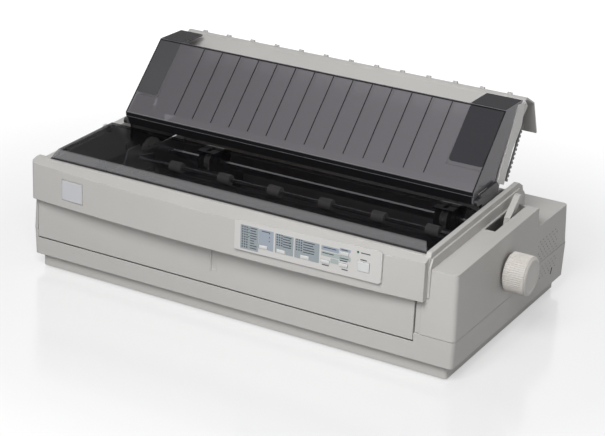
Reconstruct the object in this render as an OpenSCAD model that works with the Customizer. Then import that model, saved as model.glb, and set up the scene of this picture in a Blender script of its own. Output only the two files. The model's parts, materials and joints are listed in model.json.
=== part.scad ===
// Wide-carriage dot matrix printer, standing on its feet.
// Working frame: x from the left face, y from the front face, z from the floor.

/* [Case] */
// Width of the moulded case
case_w = 608; // [596:1:640]
// Depth of the case from its front face to its rear face
case_d = 342; // [336:1:370]
// Wall of the case mouldings
wall = 2.6; // [2:0.1:3.2]
// Radius of the upright corners of the case
corner_r = 6; // [3:0.5:10]
// Height of the lower case's bottom edge above the floor
lower_z = 20; // [16:0.5:22]
// Height of the seam between the cases at the front
seam_z = 54.5; // [52:0.5:56]
// Height of the seam at the rear, behind the step
rear_seam_z = 66.5; // [62:0.5:70]
// Distance of the step in the seam from the front face
seam_step_y = 205; // [190:1:215]
// Gap that shows as the line between the cases
seam_gap = 0.5; // [0.3:0.1:0.8]
// Lean of the upper case's walls, in degrees
upper_draft = 2.2; // [1:0.1:2.6]
// Lean of the lower case's walls, in degrees
lower_draft = 1.2; // [0.5:0.1:2]

/* [Base] */
// Inset of the plinth at the sides and rear
plinth_side = 10; // [6:0.5:14]
// Inset of the plinth at the front
plinth_front = 8; // [5:0.5:12]
// Height of the plinth's underside above the floor
plinth_z = 2.5; // [2:0.1:4]
// Diameter of a rubber foot
foot_d = 24; // [18:1:28]
// Distance of the feet's centres from the case's faces
foot_inset = 46; // [36:1:60]

/* [Tower and ridges] */
// Width of the tower on the right
tower_w = 45.5; // [44:0.5:48]
// Height of the tower's top at its front
tower_front_z = 138; // [134:0.5:141]
// Height of the tower's top at its back
tower_back_z = 145; // [142:0.5:148]
// Distance of the tower's back from the front face
tower_back = 240; // [236:1:246]
// Height of the rear deck
deck_z = 119; // [117:0.5:122]
// Width of the ridge beside the cover
ridge_w = 6.5; // [5.5:0.1:8]
// Width of the left side, outside the cover
left_w = 22; // [20:0.5:24]
// Height of the left side's top at its front
left_front_z = 151; // [149:0.5:152]
// Height of the left side's top at its back
left_back_z = 158; // [155:0.5:159]
// Height of the ridge at its front
ridge_front_z = 157.5; // [156:0.5:159]
// Height of the ridge at its back
ridge_back_z = 166; // [164:0.5:168]
// Distance of the back end of the ridge and the left side from the front face
ridge_back = 272; // [268:1:280]

/* [Front band] */
// Height of the band's underside
band_z0 = 100; // [98:0.5:102]
// Height of the band's front top edge
band_z1 = 147; // [145:0.5:149]
// How far the band's ends stand ahead of the front face
band_proud = 8; // [6:0.5:10]
// How much further its middle bows forward
band_bow = 10; // [4:0.5:12]
// Gap between the band's right end and the tower
band_gap = 3; // [2:0.5:5]
// Radius of the band's left corner, seen from above
band_r = 8; // [4:0.5:10]

/* [Front cover] */
// Left edge of the front cover
front_x0 = 8; // [6:0.5:10]
// Distance of its right edge from the case's right face
front_x1_in = 53; // [51:0.5:56]
// Gap round the front cover
front_gap = 0.7; // [0.5:0.1:1]
// Height of its hinge axis
front_axis_z = 47.5; // [46.5:0.1:48.5]
// Distance of its hinge axis behind the front face
front_axis_y = 3.2; // [3:0.1:3.6]
// Wall of the front cover
front_t = 2.6; // [2.2:0.1:2.8]
// Diameter of its pins
front_pin_d = 3; // [2.6:0.1:3.2]

/* [Printer cover] */
// Distance of its rim from the front face
cover_y0 = 8; // [6:0.5:10]
// Distance of its rear rim from the front face
cover_y1 = 153; // [150:0.5:154]
// Height of its rim at the front
cover_rim_z = 153.6; // [153.4:0.1:154.5]
// Height of its top at the front
cover_top_z = 165; // [163:0.5:166]
// Rise of rim and top from front to rear
cover_rise = 4; // [2:0.5:4.5]
// Slope of its front and rear bevels, seen from the side
cover_bevel_y = 9; // [6:0.5:14]
// Slope of its side bevels, seen from the front
cover_bevel_x = 6; // [3:0.5:8]
// Wall of the smoked covers
smoke_t = 2.4; // [2:0.1:3]
// Distance of its hinge axis from the front face
cover_axis_y = 136; // [134:0.5:138]
// Height of its hinge axis
cover_axis_z = 157.6; // [157.2:0.1:158]
// Diameter of its hinge pins
cover_pin_d = 5; // [4:0.1:5.2]

/* [Guide cover] */
// Distance of its sides from the case's left face and from the ridge
guide_x0 = 48; // [47:0.5:56]
// Distance of its right side from the case's right face
guide_x1_in = 51; // [50.5:0.1:58]
// Lower front corner of its plate, from the front face
guide_y0 = 141; // [140:0.5:142]
// Height of that corner
guide_z0 = 180; // [179:0.5:182]
// Top front corner, from the front face
guide_y1 = 221.5; // [216:0.5:226]
// Height of its top
guide_z1 = 268.5; // [262:0.5:274]
// Depth of its top wall
guide_top_d = 50; // [44:1:54]
// Width of the closed corner at the left of its top
guide_corner_l = 35; // [25:1:45]
// Width of the closed corner at the right
guide_corner_r = 49; // [35:1:60]
// Ribs on the inside of its plate
guide_ribs = 14; // [8:1:18]
// Spacing of the ribs
guide_rib_pitch = 28.1; // [20:0.1:29]
// Distance of its pivot from the front face
guide_axis_y = 146; // [145:0.5:147]
// Height of its pivot
guide_axis_z = 172; // [171.5:0.1:173]
// Diameter of the pivot pins of both guides
guide_pin_d = 4; // [3.4:0.1:4.4]

/* [Paper guide] */
// Distance of its pivot from the front face
sheet_axis_y = 214; // [211:0.5:217]
// Height of its pivot
sheet_axis_z = 158; // [155:0.5:160]
// Wall of the paper guide
sheet_t = 2.4; // [2:0.1:3]
// Distance of the hood's lower rear edge from the front face
hood_y = 335; // [328:0.5:338]
// Height of the hood's lower rear edge
hood_z = 208; // [204:0.5:212]
// Width of an edge guide's foot
edge_w = 22; // [16:1:28]

/* [Control panel] */
// Left end of the panel plate
panel_x0 = 320; // [310:1:330]
// Right end of the panel plate
panel_x1 = 516; // [510:1:526]
// Lower edge of the panel plate
panel_z0 = 111.5; // [110:0.5:114]
// Upper edge at its left end
panel_z1 = 149.5; // [147:0.5:151]
// How much higher the upper edge is at the right end
panel_lift = 3.5; // [1:0.5:5]
// How far the panel plate stands proud of the band
panel_proud = 2.2; // [1.5:0.1:3]
// Width of a small button
button_w = 11; // [8:0.5:13]
// Height of a small button
button_h = 4.2; // [3.4:0.1:5]
// Width and height of the operate button
operate_w = 15; // [12:0.5:16]
// How far a button stands proud of the plate
button_proud = 1.2; // [0.9:0.1:1.6]
// Gap round a button
button_gap = 0.35; // [0.25:0.05:0.5]

/* [Badge] */
// Middle of the blank badge
badge_x = 72.5; // [60:0.5:90]
// Height of its middle
badge_z = 124.5; // [118:0.5:128]
// Width of the badge
badge_w = 33; // [20:1:40]
// Height of the badge
badge_h = 27; // [16:1:30]

/* [Platen] */
// Distance of the platen's axis from the front face
platen_y = 148.4; // [147:0.2:150]
// Height of the platen's axis
platen_z = 93.5; // [92:0.5:95]
// Diameter of the platen
platen_d = 38; // [34:0.5:39]
// Distance of the platen's left end from the left face
platen_x0 = 98; // [94:1:106]
// Distance of its right end from the right face
platen_x1_in = 82; // [76:1:90]
// Diameter of the platen shaft
shaft_d = 10; // [8:0.5:11]
// Diameter of the knob
knob_d = 50.4; // [44:0.2:52]
// How far the knob stands out from the case
knob_proud = 31; // [26:0.5:34]
// Grooves round the knob
knob_grooves = 56; // [24:2:64]
// Running clearance of shafts in their bearings
fit = 0.08; // [0.04:0.01:0.1]

/* [Frames] */
// Distance of the left frame plate from the left face
frame_x0 = 56; // [55:0.5:57]
// Distance of the right frame plate's outer face from the right face
frame_x1_in = 56; // [55.5:0.5:57]
// Thickness of the steel plates
steel_t = 2; // [1.6:0.1:2.4]
// Height of the base plate's underside
base_z = 24; // [23.5:0.5:26]

/* [Gears] */
// Module of the gears
gear_m = 1; // [1:0.5:1]
// Teeth of the platen gear
platen_teeth = 50; // [50:1:50]
// Teeth of the motor pinion
pinion_teeth = 12; // [12:1:14]
// Teeth of the tractor idler
idler_teeth = 48; // [47:1:49]
// Teeth of the tractor gear
tractor_teeth = 32; // [31:1:33]
// Extra centre distance, which gives the gears their play
gear_play = 0.25; // [0.15:0.05:0.35]
// Width of a gear
gear_w = 5.5; // [4.5:0.5:5.5]
// Direction of the feed motor seen from the platen, in degrees
motor_dir = -30; // [-33:1:-29]

/* [Carriage] */
// Distance of the guide shaft from the front face
rail_y = 100; // [99:0.5:101]
// Height of the guide shaft
rail_z = 66; // [65:0.5:67]
// Diameter of the guide shaft
rail_d = 12; // [11:0.5:12.5]
// Width of the carriage
carriage_w = 56; // [48:1:60]
// Left end of the carriage when it is parked
carriage_x = 104; // [103:1:112]
// Radius of the belt pulleys
pulley_r = 8; // [7:0.5:9]
// Height of the belt pulleys' axes above the floor
belt_z = 56; // [56:0.5:57]

/* [Tractors] */
// Distance of the tractor shaft from the front face
tractor_y = 235; // [234:0.5:236]
// Height of the tractor shaft
tractor_z = 105; // [104:0.5:106]
// Width of a tractor
tractor_w = 24; // [20:1:28]
// Left end of the left tractor
tractor_x0 = 112; // [104:1:140]
// Distance of the right tractor's left end from the case's right face
tractor_x1_in = 138; // [118:1:168]
// Spacing of the holes in the paper's edge
pin_pitch = 12.7; // [12.7:0.1:12.7]

/* [Hidden] */
$fn = 48;

// Places that several pieces share
e = 0.01;
case_color = [0.78, 0.77, 0.75];
steel = [0.72, 0.73, 0.75];
smoke = [0.13, 0.13, 0.14];
black = [0.1, 0.1, 0.11];
front_x1 = case_w - front_x1_in;
tower_x0 = case_w - tower_w;
guide_x1 = case_w - guide_x1_in;
frame_x1 = case_w - frame_x1_in;
platen_x1 = case_w - platen_x1_in;
band_x0 = 2.5;
band_x1 = case_w - tower_w + ridge_w - band_gap + 2;
band_mid = (band_x0 + band_x1) / 2;
band_half = (band_x1 - band_x0) / 2;
cover_x0 = left_w + 1;
cover_x1 = tower_x0 - 0.6;
panel_mid = (panel_x0 + panel_x1) / 2;
panel_yaw = atan(2 * band_bow * (panel_mid - band_mid) / pow(band_half, 2));
panel_half = (panel_x1 - panel_x0) / 2;
tractor_x1 = case_w - tractor_x1_in;
deck_y = case_d - 46;
ridge_z = function (y) ridge_front_z + (ridge_back_z - ridge_front_z) * (y - 6) / (ridge_back - 32);
total_w = case_w + knob_proud;
front_reach = band_proud + band_bow + panel_proud + button_proud;
mid_y = (case_d - front_reach) / 2;

module placed() translate([-total_w / 2, -mid_y, 0]) children();
module box(x0, x1, y0, y1, z0, z1) translate([x0, y0, z0]) cube([x1 - x0, y1 - y0, z1 - z0]);
// An outline in y and z, drawn out along x
module along_x(x0, x1) translate([x0, 0, 0]) rotate([90, 0, 90]) linear_extrude(x1 - x0) children();
// An outline in x and z, drawn out along y
module along_y(y0, y1) translate([0, y1, 0]) rotate([90, 0, 0]) linear_extrude(y1 - y0) children();
module rod_x(x0, x1, y, z, d) translate([x0, y, z]) rotate([0, 90, 0]) cylinder(d = d, h = x1 - x0);
module rod_y(y0, y1, x, z, d) translate([x, y1, z]) rotate([90, 0, 0]) cylinder(d = d, h = y1 - y0);
module rod_z(z0, z1, x, y, d) translate([x, y, z0]) cylinder(d = d, h = z1 - z0);
// The case's outline between two heights, leaning in by the given insets
module case_block(z0, in0, z1, in1, r) {
    hull() {
        for (x = [in0 + r, case_w - in0 - r], y = [in0 + r, case_d - in0 - r])
            translate([x, y, z0]) cylinder(r = r, h = e, $fn = 32);
        for (x = [in1 + r, case_w - in1 - r], y = [in1 + r, case_d - in1 - r])
            translate([x, y, z1]) cylinder(r = r, h = e, $fn = 32);
    }
}
// Outline of a gear in y and z: teeth at even angles from the phase
function gear_points(teeth, phase) = let (rp = gear_m * teeth / 2, a = 90 / teeth)
    [for (i = [0:teeth - 1], p = [[rp - 1.15 * gear_m, -1.4], [rp, -0.94], [rp + 0.85 * gear_m, -0.5],
        [rp + 0.85 * gear_m, 0.5], [rp, 0.94], [rp - 1.15 * gear_m, 1.4]])
        let (t = phase + i * 360 / teeth + p[1] * a) [p[0] * cos(t), p[0] * sin(t)]];
// Phase of a gear that meshes with another, lying in direction dir from it
function mate_phase(phase, teeth, mate, dir) = let (pitch = 360 / teeth, off = dir - phase,
    d = off - pitch * floor(off / pitch)) dir + 180 + d * teeth / mate + 180 / mate;
module gear(teeth, phase, bore, x0, x1, y, z) {
    translate([0, y, z]) difference() {
        along_x(x0, x1) polygon(gear_points(teeth, phase));
        rod_x(x0 - e, x1 + e, 0, 0, bore);
    }
}
// A curve from p to r, drawn towards q, and the strip that lies beside it
function bend(p, q, r,
    n) = [for (i = [0:n]) let (t = i / n) (1 - t) * (1 - t) * p + 2 * t * (1 - t) * q + t * t * r];
function normal(path, i) = let (n = len(path) - 1, d = path[min(i + 1, n)] - path[max(i - 1, 0)]) [-d[1],
    d[0]] / norm(d);
function shifted(path, t) = [for (i = [0:len(path) - 1]) path[i] + t * normal(path, i)];
function reversed(path) = [for (i = [len(path) - 1:-1:0]) path[i]];
function strip(path, t) = concat(path, reversed(shifted(path, t)));

// Case

module lower_case() placed() color(case_color) {
    drop = (rear_seam_z - lower_z) * tan(lower_draft);
    difference() {
        union() {
            intersection() {
                case_block(lower_z, drop, rear_seam_z, 0, corner_r);
                along_x(-1, case_w + 1) polygon([[-1, 0], [-1, seam_z], [seam_step_y, seam_z],
                    [seam_step_y, rear_seam_z - e], [case_d + 1, rear_seam_z - e], [case_d + 1, 0]]);
            }
            hull() for (x = [plinth_side + 4, case_w - plinth_side - 4], y = [plinth_front + 4,
                case_d - plinth_side - 4])
                translate([x, y, plinth_z]) cylinder(r = 4, h = lower_z - plinth_z + 1, $fn = 32);
        }
        case_block(lower_z + wall, drop + wall, rear_seam_z + 1, wall, corner_r - wall);
        box(plinth_side + wall, case_w - plinth_side - wall, plinth_front + wall,
            case_d - plinth_side - wall,
            plinth_z + wall, rear_seam_z);
        // Front cover's opening, with a groove in the lip for its rolling edge
        box(front_x0, front_x1, -1, wall + 1, front_axis_z - 4.2, seam_z + 1);
        box(front_x0, front_x1, 1.2, wall + 1, front_axis_z - 5.2, seam_z + 1);
        for (x = [front_x0 - 3, front_x1 - 1])
            rod_x(x, x + 4, front_axis_y, front_axis_z, front_pin_d + 2 * fit);
        // Sockets at the rear
        box(inlet_x - 14, inlet_x + 14, case_d - 20, case_d + 1, inlet_z - 10, inlet_z + 10);
        box(port_x - 34, port_x + 34, case_d - 20, case_d + 1, port_z - 8, port_z + 8);
        side_vents(44, 62);
        along_x(case_w - 6, case_w + 1) translate([case_d - 46, 40]) rotate(-20)
            square([3.4, 9], center = true);
        // Air slots under the boards
        for (i = [0:floor((main_x1 - main_x0 - 24) / 14) - 1]) box(main_x0 + 16 + i * 14,
            main_x0 + 20 + i * 14, main_y0 + 20, main_y1 - 34, 0, 8);
        for (i = [0:9]) box(power_x0 + 16 + i * 14, power_x0 + 20 + i * 14, power_y0 + 20, power_y1 - 34,
            0, 8);
        for (p = foot_places()) rod_z(0, plinth_z + 0.8, p[0], p[1], foot_d + 0.4);
        for (p = screw_places()) {
            rod_z(0, plinth_z + 1.4, p[0], p[1], 8);
            rod_z(0, base_z, p[0], p[1], 3.4);
        }
    }
    // Cheeks that carry the front cover's pins
    for (x = [front_x0 - 3, front_x1]) difference() {
        box(x, x + 3, 0.8, 12, lower_z + wall, seam_z - e);
        rod_x(x - e, x + 3 + e, front_axis_y, front_axis_z, front_pin_d + 2 * fit);
    }
    // Posts for the base plate and the circuit boards
    for (p = screw_places()) difference() {
        rod_z(plinth_z + wall - e, base_z, p[0], p[1], 11);
        rod_z(plinth_z, base_z + 1, p[0], p[1], 3.4);
    }
    for (x = [main_x0 + 5, main_x1 - 5], y = [main_y0 + 5, main_y1 - 5])
        rod_z(plinth_z + wall - e, board_z, x, y, 7);
    for (x = [power_x0 + 5, power_x1 - 5], y = [power_y0 + 5, power_y1 - 5])
        rod_z(plinth_z + wall - e, board_z, x, y, 7);
}
inlet_x = 100;
inlet_z = 44;
port_z = 44;
board_z = 10;
power_x0 = frame_x0 + 6;
power_x1 = power_x0 + 170;
power_y1 = case_d - 24;
power_y0 = power_y1 - 104;
main_x0 = power_x1 + 18;
main_x1 = case_w - 68;
port_x = main_x1 - 70;
main_y1 = case_d - 24;
main_y0 = main_y1 - 106;
function foot_places() = [for (x = [foot_inset, case_w - foot_inset], y = [foot_inset,
    case_d - foot_inset]) [x, y]];
function screw_places() = [for (x = [76, case_w - 76], y = [76, 198]) [x, y], [241, case_d - 46]];

// Staggered square holes in the right wall, behind the knob
vent_y = case_d - 96;
vent_pitch = 5;
vent_w = 1.8;
module side_vents(z0, z1) {
    rows = floor((z1 - z0) / vent_pitch);
    along_x(case_w - 12, case_w + 1)
        for (i = [0:12], j = [0:rows]) if ((i + j) % 2 == 0)
            translate([vent_y + i * vent_pitch, z0 + j * vent_pitch]) rotate(45)
                square(vent_w, center = true);
}

module feet() placed() color(black)
    for (p = foot_places()) difference() {
        rod_z(0, plinth_z + 0.8, p[0], p[1], foot_d);
        rod_z(-1, 1, p[0], p[1], foot_d / 3);
    }

// Plan of the band: its bowed front, a rounded left corner and a straight back
function bow_y(x) = -band_proud - band_bow * (1 - pow((x - band_mid) / band_half, 2));
function band_plan(inset, back) = let (r = max(band_r - inset, 1), x0 = band_x0 + inset,
    x1 = band_x1 - inset,
    yl = bow_y(band_x0) + inset) concat(
    [for (i = [0:5]) let (a = 180 + 15 * i) [x0 + r + r * cos(a), yl + r + r * sin(a)]],
    [for (i = [1:24]) let (x = x0 + r + (x1 - x0 - r) * i / 24) [x, bow_y(x) + inset]],
    [[x1, back], [x0, back]]);
module band_solid(inset) {
    intersection() {
        translate([0, 0, band_z0 + inset]) linear_extrude(60) polygon(band_plan(inset,
            13 + (inset > 0 ? 1 : 0)));
        along_x(0, case_w) polygon([[-30, 90], [-30, band_z1 - 2 - inset], [-band_proud - band_bow + 1,
            band_z1 - inset],
            [cover_y0 - 0.6, cover_rim_z - 0.4 - inset], [20, cover_rim_z - 0.4 - inset], [20, 90]]);
    }
}
// Wedge that takes the left side's outer top edge off, along its slope
left_y0 = 10;
left_y1 = ridge_back - 18;
module left_bevel() translate([0, left_y0, left_front_z - 6])
    rotate([atan((left_back_z - left_front_z) / (left_y1 - left_y0)), 0, 0]) rotate([0, -34, 0])
        box(-20, 30, -60, case_d, 0, 20);
// Places things on the panel: u along it, v into the case, z upwards
module on_panel() translate([panel_mid, bow_y(panel_mid), 0]) rotate([0, 0, panel_yaw]) children();
function panel_top(u) = panel_z1 + panel_lift * (u + panel_half) / (2 * panel_half);

// Places things on the band at the badge, in the same way
module on_badge() translate([badge_x, bow_y(badge_x), 0])
    rotate([0, 0, atan(2 * band_bow * (badge_x - band_mid) / pow(band_half, 2))]) children();

module tower_outline(t) polygon([[-5, seam_z + seam_gap - (t > 0 ? 1 : 0)], [-5, 120], [0,
    tower_front_z - t],
    [tower_back - t, tower_back_z - t], [tower_back - t, deck_z - t], [case_d + 5, deck_z - t],
    [case_d + 5, rear_seam_z + seam_gap - (t > 0 ? 13 : 0)], [seam_step_y,
        rear_seam_z + seam_gap - (t > 0 ? 13 : 0)],
    [seam_step_y, seam_z + seam_gap - (t > 0 ? 1 : 0)]]);
module left_outline(t) polygon([[-5, seam_z + seam_gap - (t > 0 ? 1 : 0)], [-5, left_front_z - 7 - t],
    [left_y0, left_front_z - t], [left_y1 - t, left_back_z - t], [ridge_back - 5 - t, left_back_z - 7 - t],
    [ridge_back - t, left_back_z - 16], [ridge_back - t, deck_z - t], [case_d + 5, deck_z - t],
    [case_d + 5, rear_seam_z + seam_gap - (t > 0 ? 13 : 0)], [seam_step_y,
        rear_seam_z + seam_gap - (t > 0 ? 13 : 0)],
    [seam_step_y, seam_z + seam_gap - (t > 0 ? 1 : 0)]]);
module ridge_outline(drop) polygon([[12, 112], [0.8, band_z0 + 2], [0.8, band_z1 - drop], [6,
    ridge_front_z - drop],
    [ridge_back - 18, ridge_z(ridge_back - 18) - drop], [ridge_back - 5, ridge_back_z - 7 - drop],
    [ridge_back, ridge_back_z - 20], [ridge_back, 112]]);

module upper_case() placed() color(case_color) {
    lean = (176 - seam_z) * tan(upper_draft);
    difference() {
        union() {
            intersection() {
                case_block(seam_z, 0, 176, lean, corner_r);
                union() {
                    along_x(tower_x0, case_w) tower_outline(0);
                    difference() {
                        along_x(0, left_w) left_outline(0);
                        left_bevel();
                    }
                    box(left_w - e, tower_x0 + e, deck_y, case_d, rear_seam_z + seam_gap, deck_z);
                    box(0, front_x0 - front_gap, 0, 12, seam_z + seam_gap, band_z0 + 4);
                    box(front_x1 + front_gap, tower_x0 + 5, 2, 12, seam_z + seam_gap, band_z0 + 4);
                }
            }
            // Lug round the cover's left hinge pin
            along_x(left_w - 5.5, left_w) translate([cover_axis_y, cover_axis_z])
                polygon([[-8, -8], [-5, 3.5], [-2.5, 5.4], [2.5, 5.4], [5, 3.5], [8, -8]]);
            along_x(tower_x0, tower_x0 + ridge_w) ridge_outline(0);
            along_x(tower_x0 + ridge_w - e, tower_x0 + ridge_w + 2.5) ridge_outline(7);
            band_solid(0);
            // Blank badge, a little proud of the band
            on_badge() along_y(-0.6, 1.5) translate([0, badge_z]) square([badge_w, badge_h], center = true);
            // Sills under the rear edge of the band
            box(left_w - e, tower_x0 + e, 4, 13, cover_rim_z - 6, cover_rim_z - 0.4);
        }
        intersection() {
            case_block(seam_z - 14, wall, 176, lean + wall, corner_r - wall);
            union() {
                along_x(tower_x0 + wall, case_w) intersection() {
                    tower_outline(wall);
                    translate([wall + 1, 0]) square([case_d, 200]);
                }
                along_x(0, left_w - wall) intersection() {
                    left_outline(wall + 2);
                    translate([wall + 1, 0]) square([case_d, 200]);
                }
            }
        }
        // The inner walls stop above the mechanism, and the deck is open below
        box(wall + 2, case_w - wall - 4, 13, case_d - wall - 3, seam_z - 14, 112);
        box(left_w, tower_x0, 13.2, deck_y + wall, 40, 200);
        box(left_w, tower_x0, deck_y, case_d - wall - 3, 40, deck_z - wall);
        band_solid(wall);
        // Opening for the front cover
        box(front_x0 - front_gap, front_x1 + front_gap, -5, 13.2, seam_z, band_z0);
        // Control panel's pocket and window
        on_panel() {
            along_y(-12, 1.2) panel_outline(0.3);
            translate([-panel_half + 8, 0, panel_z0 + 5]) cube([2 * panel_half - 16, 8,
                panel_z1 - panel_z0 - 12]);
        }
        // Groove round the blank badge
        on_badge() along_y(-2, 0.6) translate([0, badge_z]) difference() {
            square([badge_w + 1.2, badge_h + 1.2], center = true);
            square([badge_w, badge_h], center = true);
        }
        // Slot for the release lever
        along_x(lever_x0 - 3, lever_x1 + 3) polygon([[143, 120], [143, 160], [237, 160], [237, 120]]);
        rod_x(case_w - 20, case_w + 1, platen_y, platen_z, knob_d * 0.52);
        side_vents(71, 98);
        // Holes for the cover's hinge pins
        rod_x(left_w - 5, left_w + 1, cover_axis_y, cover_axis_z, cover_pin_d + 2 * fit);
        rod_x(tower_x0 - 1, tower_x0 + 5, cover_axis_y, cover_axis_z, cover_pin_d + 2 * fit);
    }
}
lever_x0 = case_w - 31;
lever_x1 = case_w - 23;

module front_cover() placed() color(case_color) {
    x0 = front_x0 + front_gap;
    x1 = front_x1 - front_gap;
    top = band_z0 - front_gap;
    difference() {
        union() {
            along_x(x0, x1) polygon([[0, front_axis_z - 2], [1, front_axis_z - 3], [front_t,
                front_axis_z - 3],
                [front_t, top], [0, top]]);
            // Stiffening returns at the ends and the top
            for (x = [x0, x1 - 2]) along_x(x, x + 2) polygon([[1, front_axis_z - 3], [front_axis_y,
                front_axis_z - 3.2],
                [front_axis_y + 2.8, front_axis_z - 1.5], [front_axis_y + 3.4, front_axis_z + 2], [8,
                    top - 8], [1, top]]);
            box(x0, x1, front_t - e, 5.5, top - 4, top - 2);
            for (x = [x0 - 2.2, x1 - 1]) rod_x(x, x + 3.2, front_axis_y, front_axis_z, front_pin_d);
        }
        // Finger rib with its hollow
        along_y(-1, 1.4) translate([finger_x, finger_z]) square([finger_w, top - finger_z + 1]);
    }
    along_y(-1.2, front_t) translate([finger_x - 2.4, finger_z]) square([2.4, top - finger_z - 0.6]);
}
finger_x = 275;
finger_w = 8;
finger_z = 64;

// A closed form between four lower and four upper corners
module frustum(b, t) polyhedron(points = concat(b, t), faces = [[0, 1, 2], [0, 2, 3], [6, 5, 4], [7, 6, 4],
    [4, 5, 1], [4, 1, 0], [5, 6, 2], [5, 2, 1], [6, 7, 3], [6, 3, 2], [7, 4, 0], [7, 0, 3]]);
function cover_corners(t, z, dx, dy) = let (x0 = cover_x0 + dx + t, x1 = cover_x1 - dx - t,
    y0 = cover_y0 + dy + t,
    y1 = cover_y1 - 2 * dy - t, s = cover_rise / (cover_y1 - cover_y0))
    [[x0, y0, z + s * (y0 - cover_y0)], [x1, y0, z + s * (y0 - cover_y0)], [x1, y1,
        z + s * (y1 - cover_y0)],
    [x0, y1, z + s * (y1 - cover_y0)]];
module printer_cover() placed() color(smoke, 0.85) {
    h = cover_top_z - cover_rim_z;
    difference() {
        union() {
            frustum(cover_corners(0, cover_rim_z, 0, 0), cover_corners(0, cover_top_z, cover_bevel_x,
                cover_bevel_y));
            // Lugs round the hinge axis
            for (x = [cover_x0, cover_x1 - 4]) rod_x(x, x + 4, cover_axis_y, cover_axis_z, 8);
        }
        difference() {
            frustum(cover_corners(smoke_t, cover_rim_z - 1, -cover_bevel_x / h, -cover_bevel_y / h),
                cover_corners(smoke_t * 0.6, cover_top_z - smoke_t, cover_bevel_x, cover_bevel_y));
            for (x = [cover_x0, cover_x1 - 4]) rod_x(x, x + 4, cover_axis_y, cover_axis_z, 8);
        }
    }
    for (x = [cover_x0 - 4.4, cover_x1]) rod_x(x - e, x + 4.4 + e, cover_axis_y, cover_axis_z,
        cover_pin_d);
}

guide_back = guide_y1 + guide_top_d;
function wall_curve() = bend([guide_y0 + 63, guide_z0 + 1], [guide_y0 + 82, guide_z0 + 42], [guide_back,
    guide_z1], 10);
module guide_cover() placed() color(smoke, 0.8) {
    plate = [[guide_y0, guide_z0], [guide_y0 - 1, guide_z0 + 6], [guide_y1, guide_z1]];
    t = smoke_t;
    along_x(guide_x0, guide_x1) polygon([plate[0], plate[1], plate[2], plate[2] + [t * 1.6, -t * 0.6],
        plate[1] + [t, -1], plate[0] + [t, 0]]);
    // Lip that closes the gap behind the printer cover
    along_x(guide_x0, guide_x1) polygon([plate[0] + [0, 1], [guide_axis_y - 2, guide_axis_z + 3],
        [guide_axis_y + 1, guide_axis_z - 4.5], [guide_axis_y + 1 + t, guide_axis_z - 3.8],
        [guide_axis_y - 2 + t, guide_axis_z + 4], plate[0] + [t, 2]]);
    for (x = [[guide_x0, guide_x0 + guide_corner_l], [guide_x1 - guide_corner_r, guide_x1]])
        along_x(x[0], x[1]) polygon([[guide_y1, guide_z1], [guide_back, guide_z1], [guide_back - 1,
            guide_z1 - t],
            [guide_y1, guide_z1 - t]]);
    // Side walls, each with an ear round the pivot
    for (x = [guide_x0, guide_x1 - t]) {
        along_x(x, x + t) polygon(concat([plate[0], plate[1], plate[2]], reversed(wall_curve())));
        along_x(x, x + t) polygon([[guide_y0, guide_z0 + 1], [guide_axis_y - 4, guide_axis_z],
            [guide_axis_y + 4, guide_axis_z], [guide_y0 + 14, guide_z0 + 1]]);
        rod_x(x, x + t, guide_axis_y, guide_axis_z, 8);
    }
    rod_x(guide_x0 - 4.6, guide_x0 + e, guide_axis_y, guide_axis_z, guide_pin_d);
    rod_x(guide_x1 - e, guide_x1 + 4.6, guide_axis_y, guide_axis_z, guide_pin_d);
    // Corner boxes behind the plate: an end wall and a back
    for (x = [guide_x0 + guide_corner_l, guide_x1 - guide_corner_r]) along_x(x - 1, x + 1)
        polygon([[guide_y1 - 61, guide_z1 - 61], [guide_y1, guide_z1 - 1], [guide_y1 + 16, guide_z1 - 1],
            [guide_y1 - 46, guide_z1 - 64]]);
    for (x = [[guide_x0, guide_x0 + guide_corner_l], [guide_x1 - guide_corner_r, guide_x1]])
        along_x(x[0], x[1]) polygon([[guide_y1 - 61, guide_z1 - 61], [guide_y1 - 60, guide_z1 - 64],
            [guide_y1 - 46, guide_z1 - 64], [guide_y1 + 16, guide_z1 - 1], [guide_y1 + 13, guide_z1 - 1],
            [guide_y1 - 47, guide_z1 - 62]]);
    // Ribs that keep the sheet off the plate
    rib_foot = plate[1] + 0.16 * (plate[2] - plate[1]) + [1, 0];
    first = (guide_x0 + guide_x1 - (guide_ribs - 1) * guide_rib_pitch) / 2;
    for (i = [0:guide_ribs - 1]) along_x(first + i * guide_rib_pitch - 0.6,
        first + i * guide_rib_pitch + 0.6)
        polygon([rib_foot, plate[2] + [1, -1], plate[2] + [7, -5], rib_foot + [9, 6]]);
}

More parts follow.
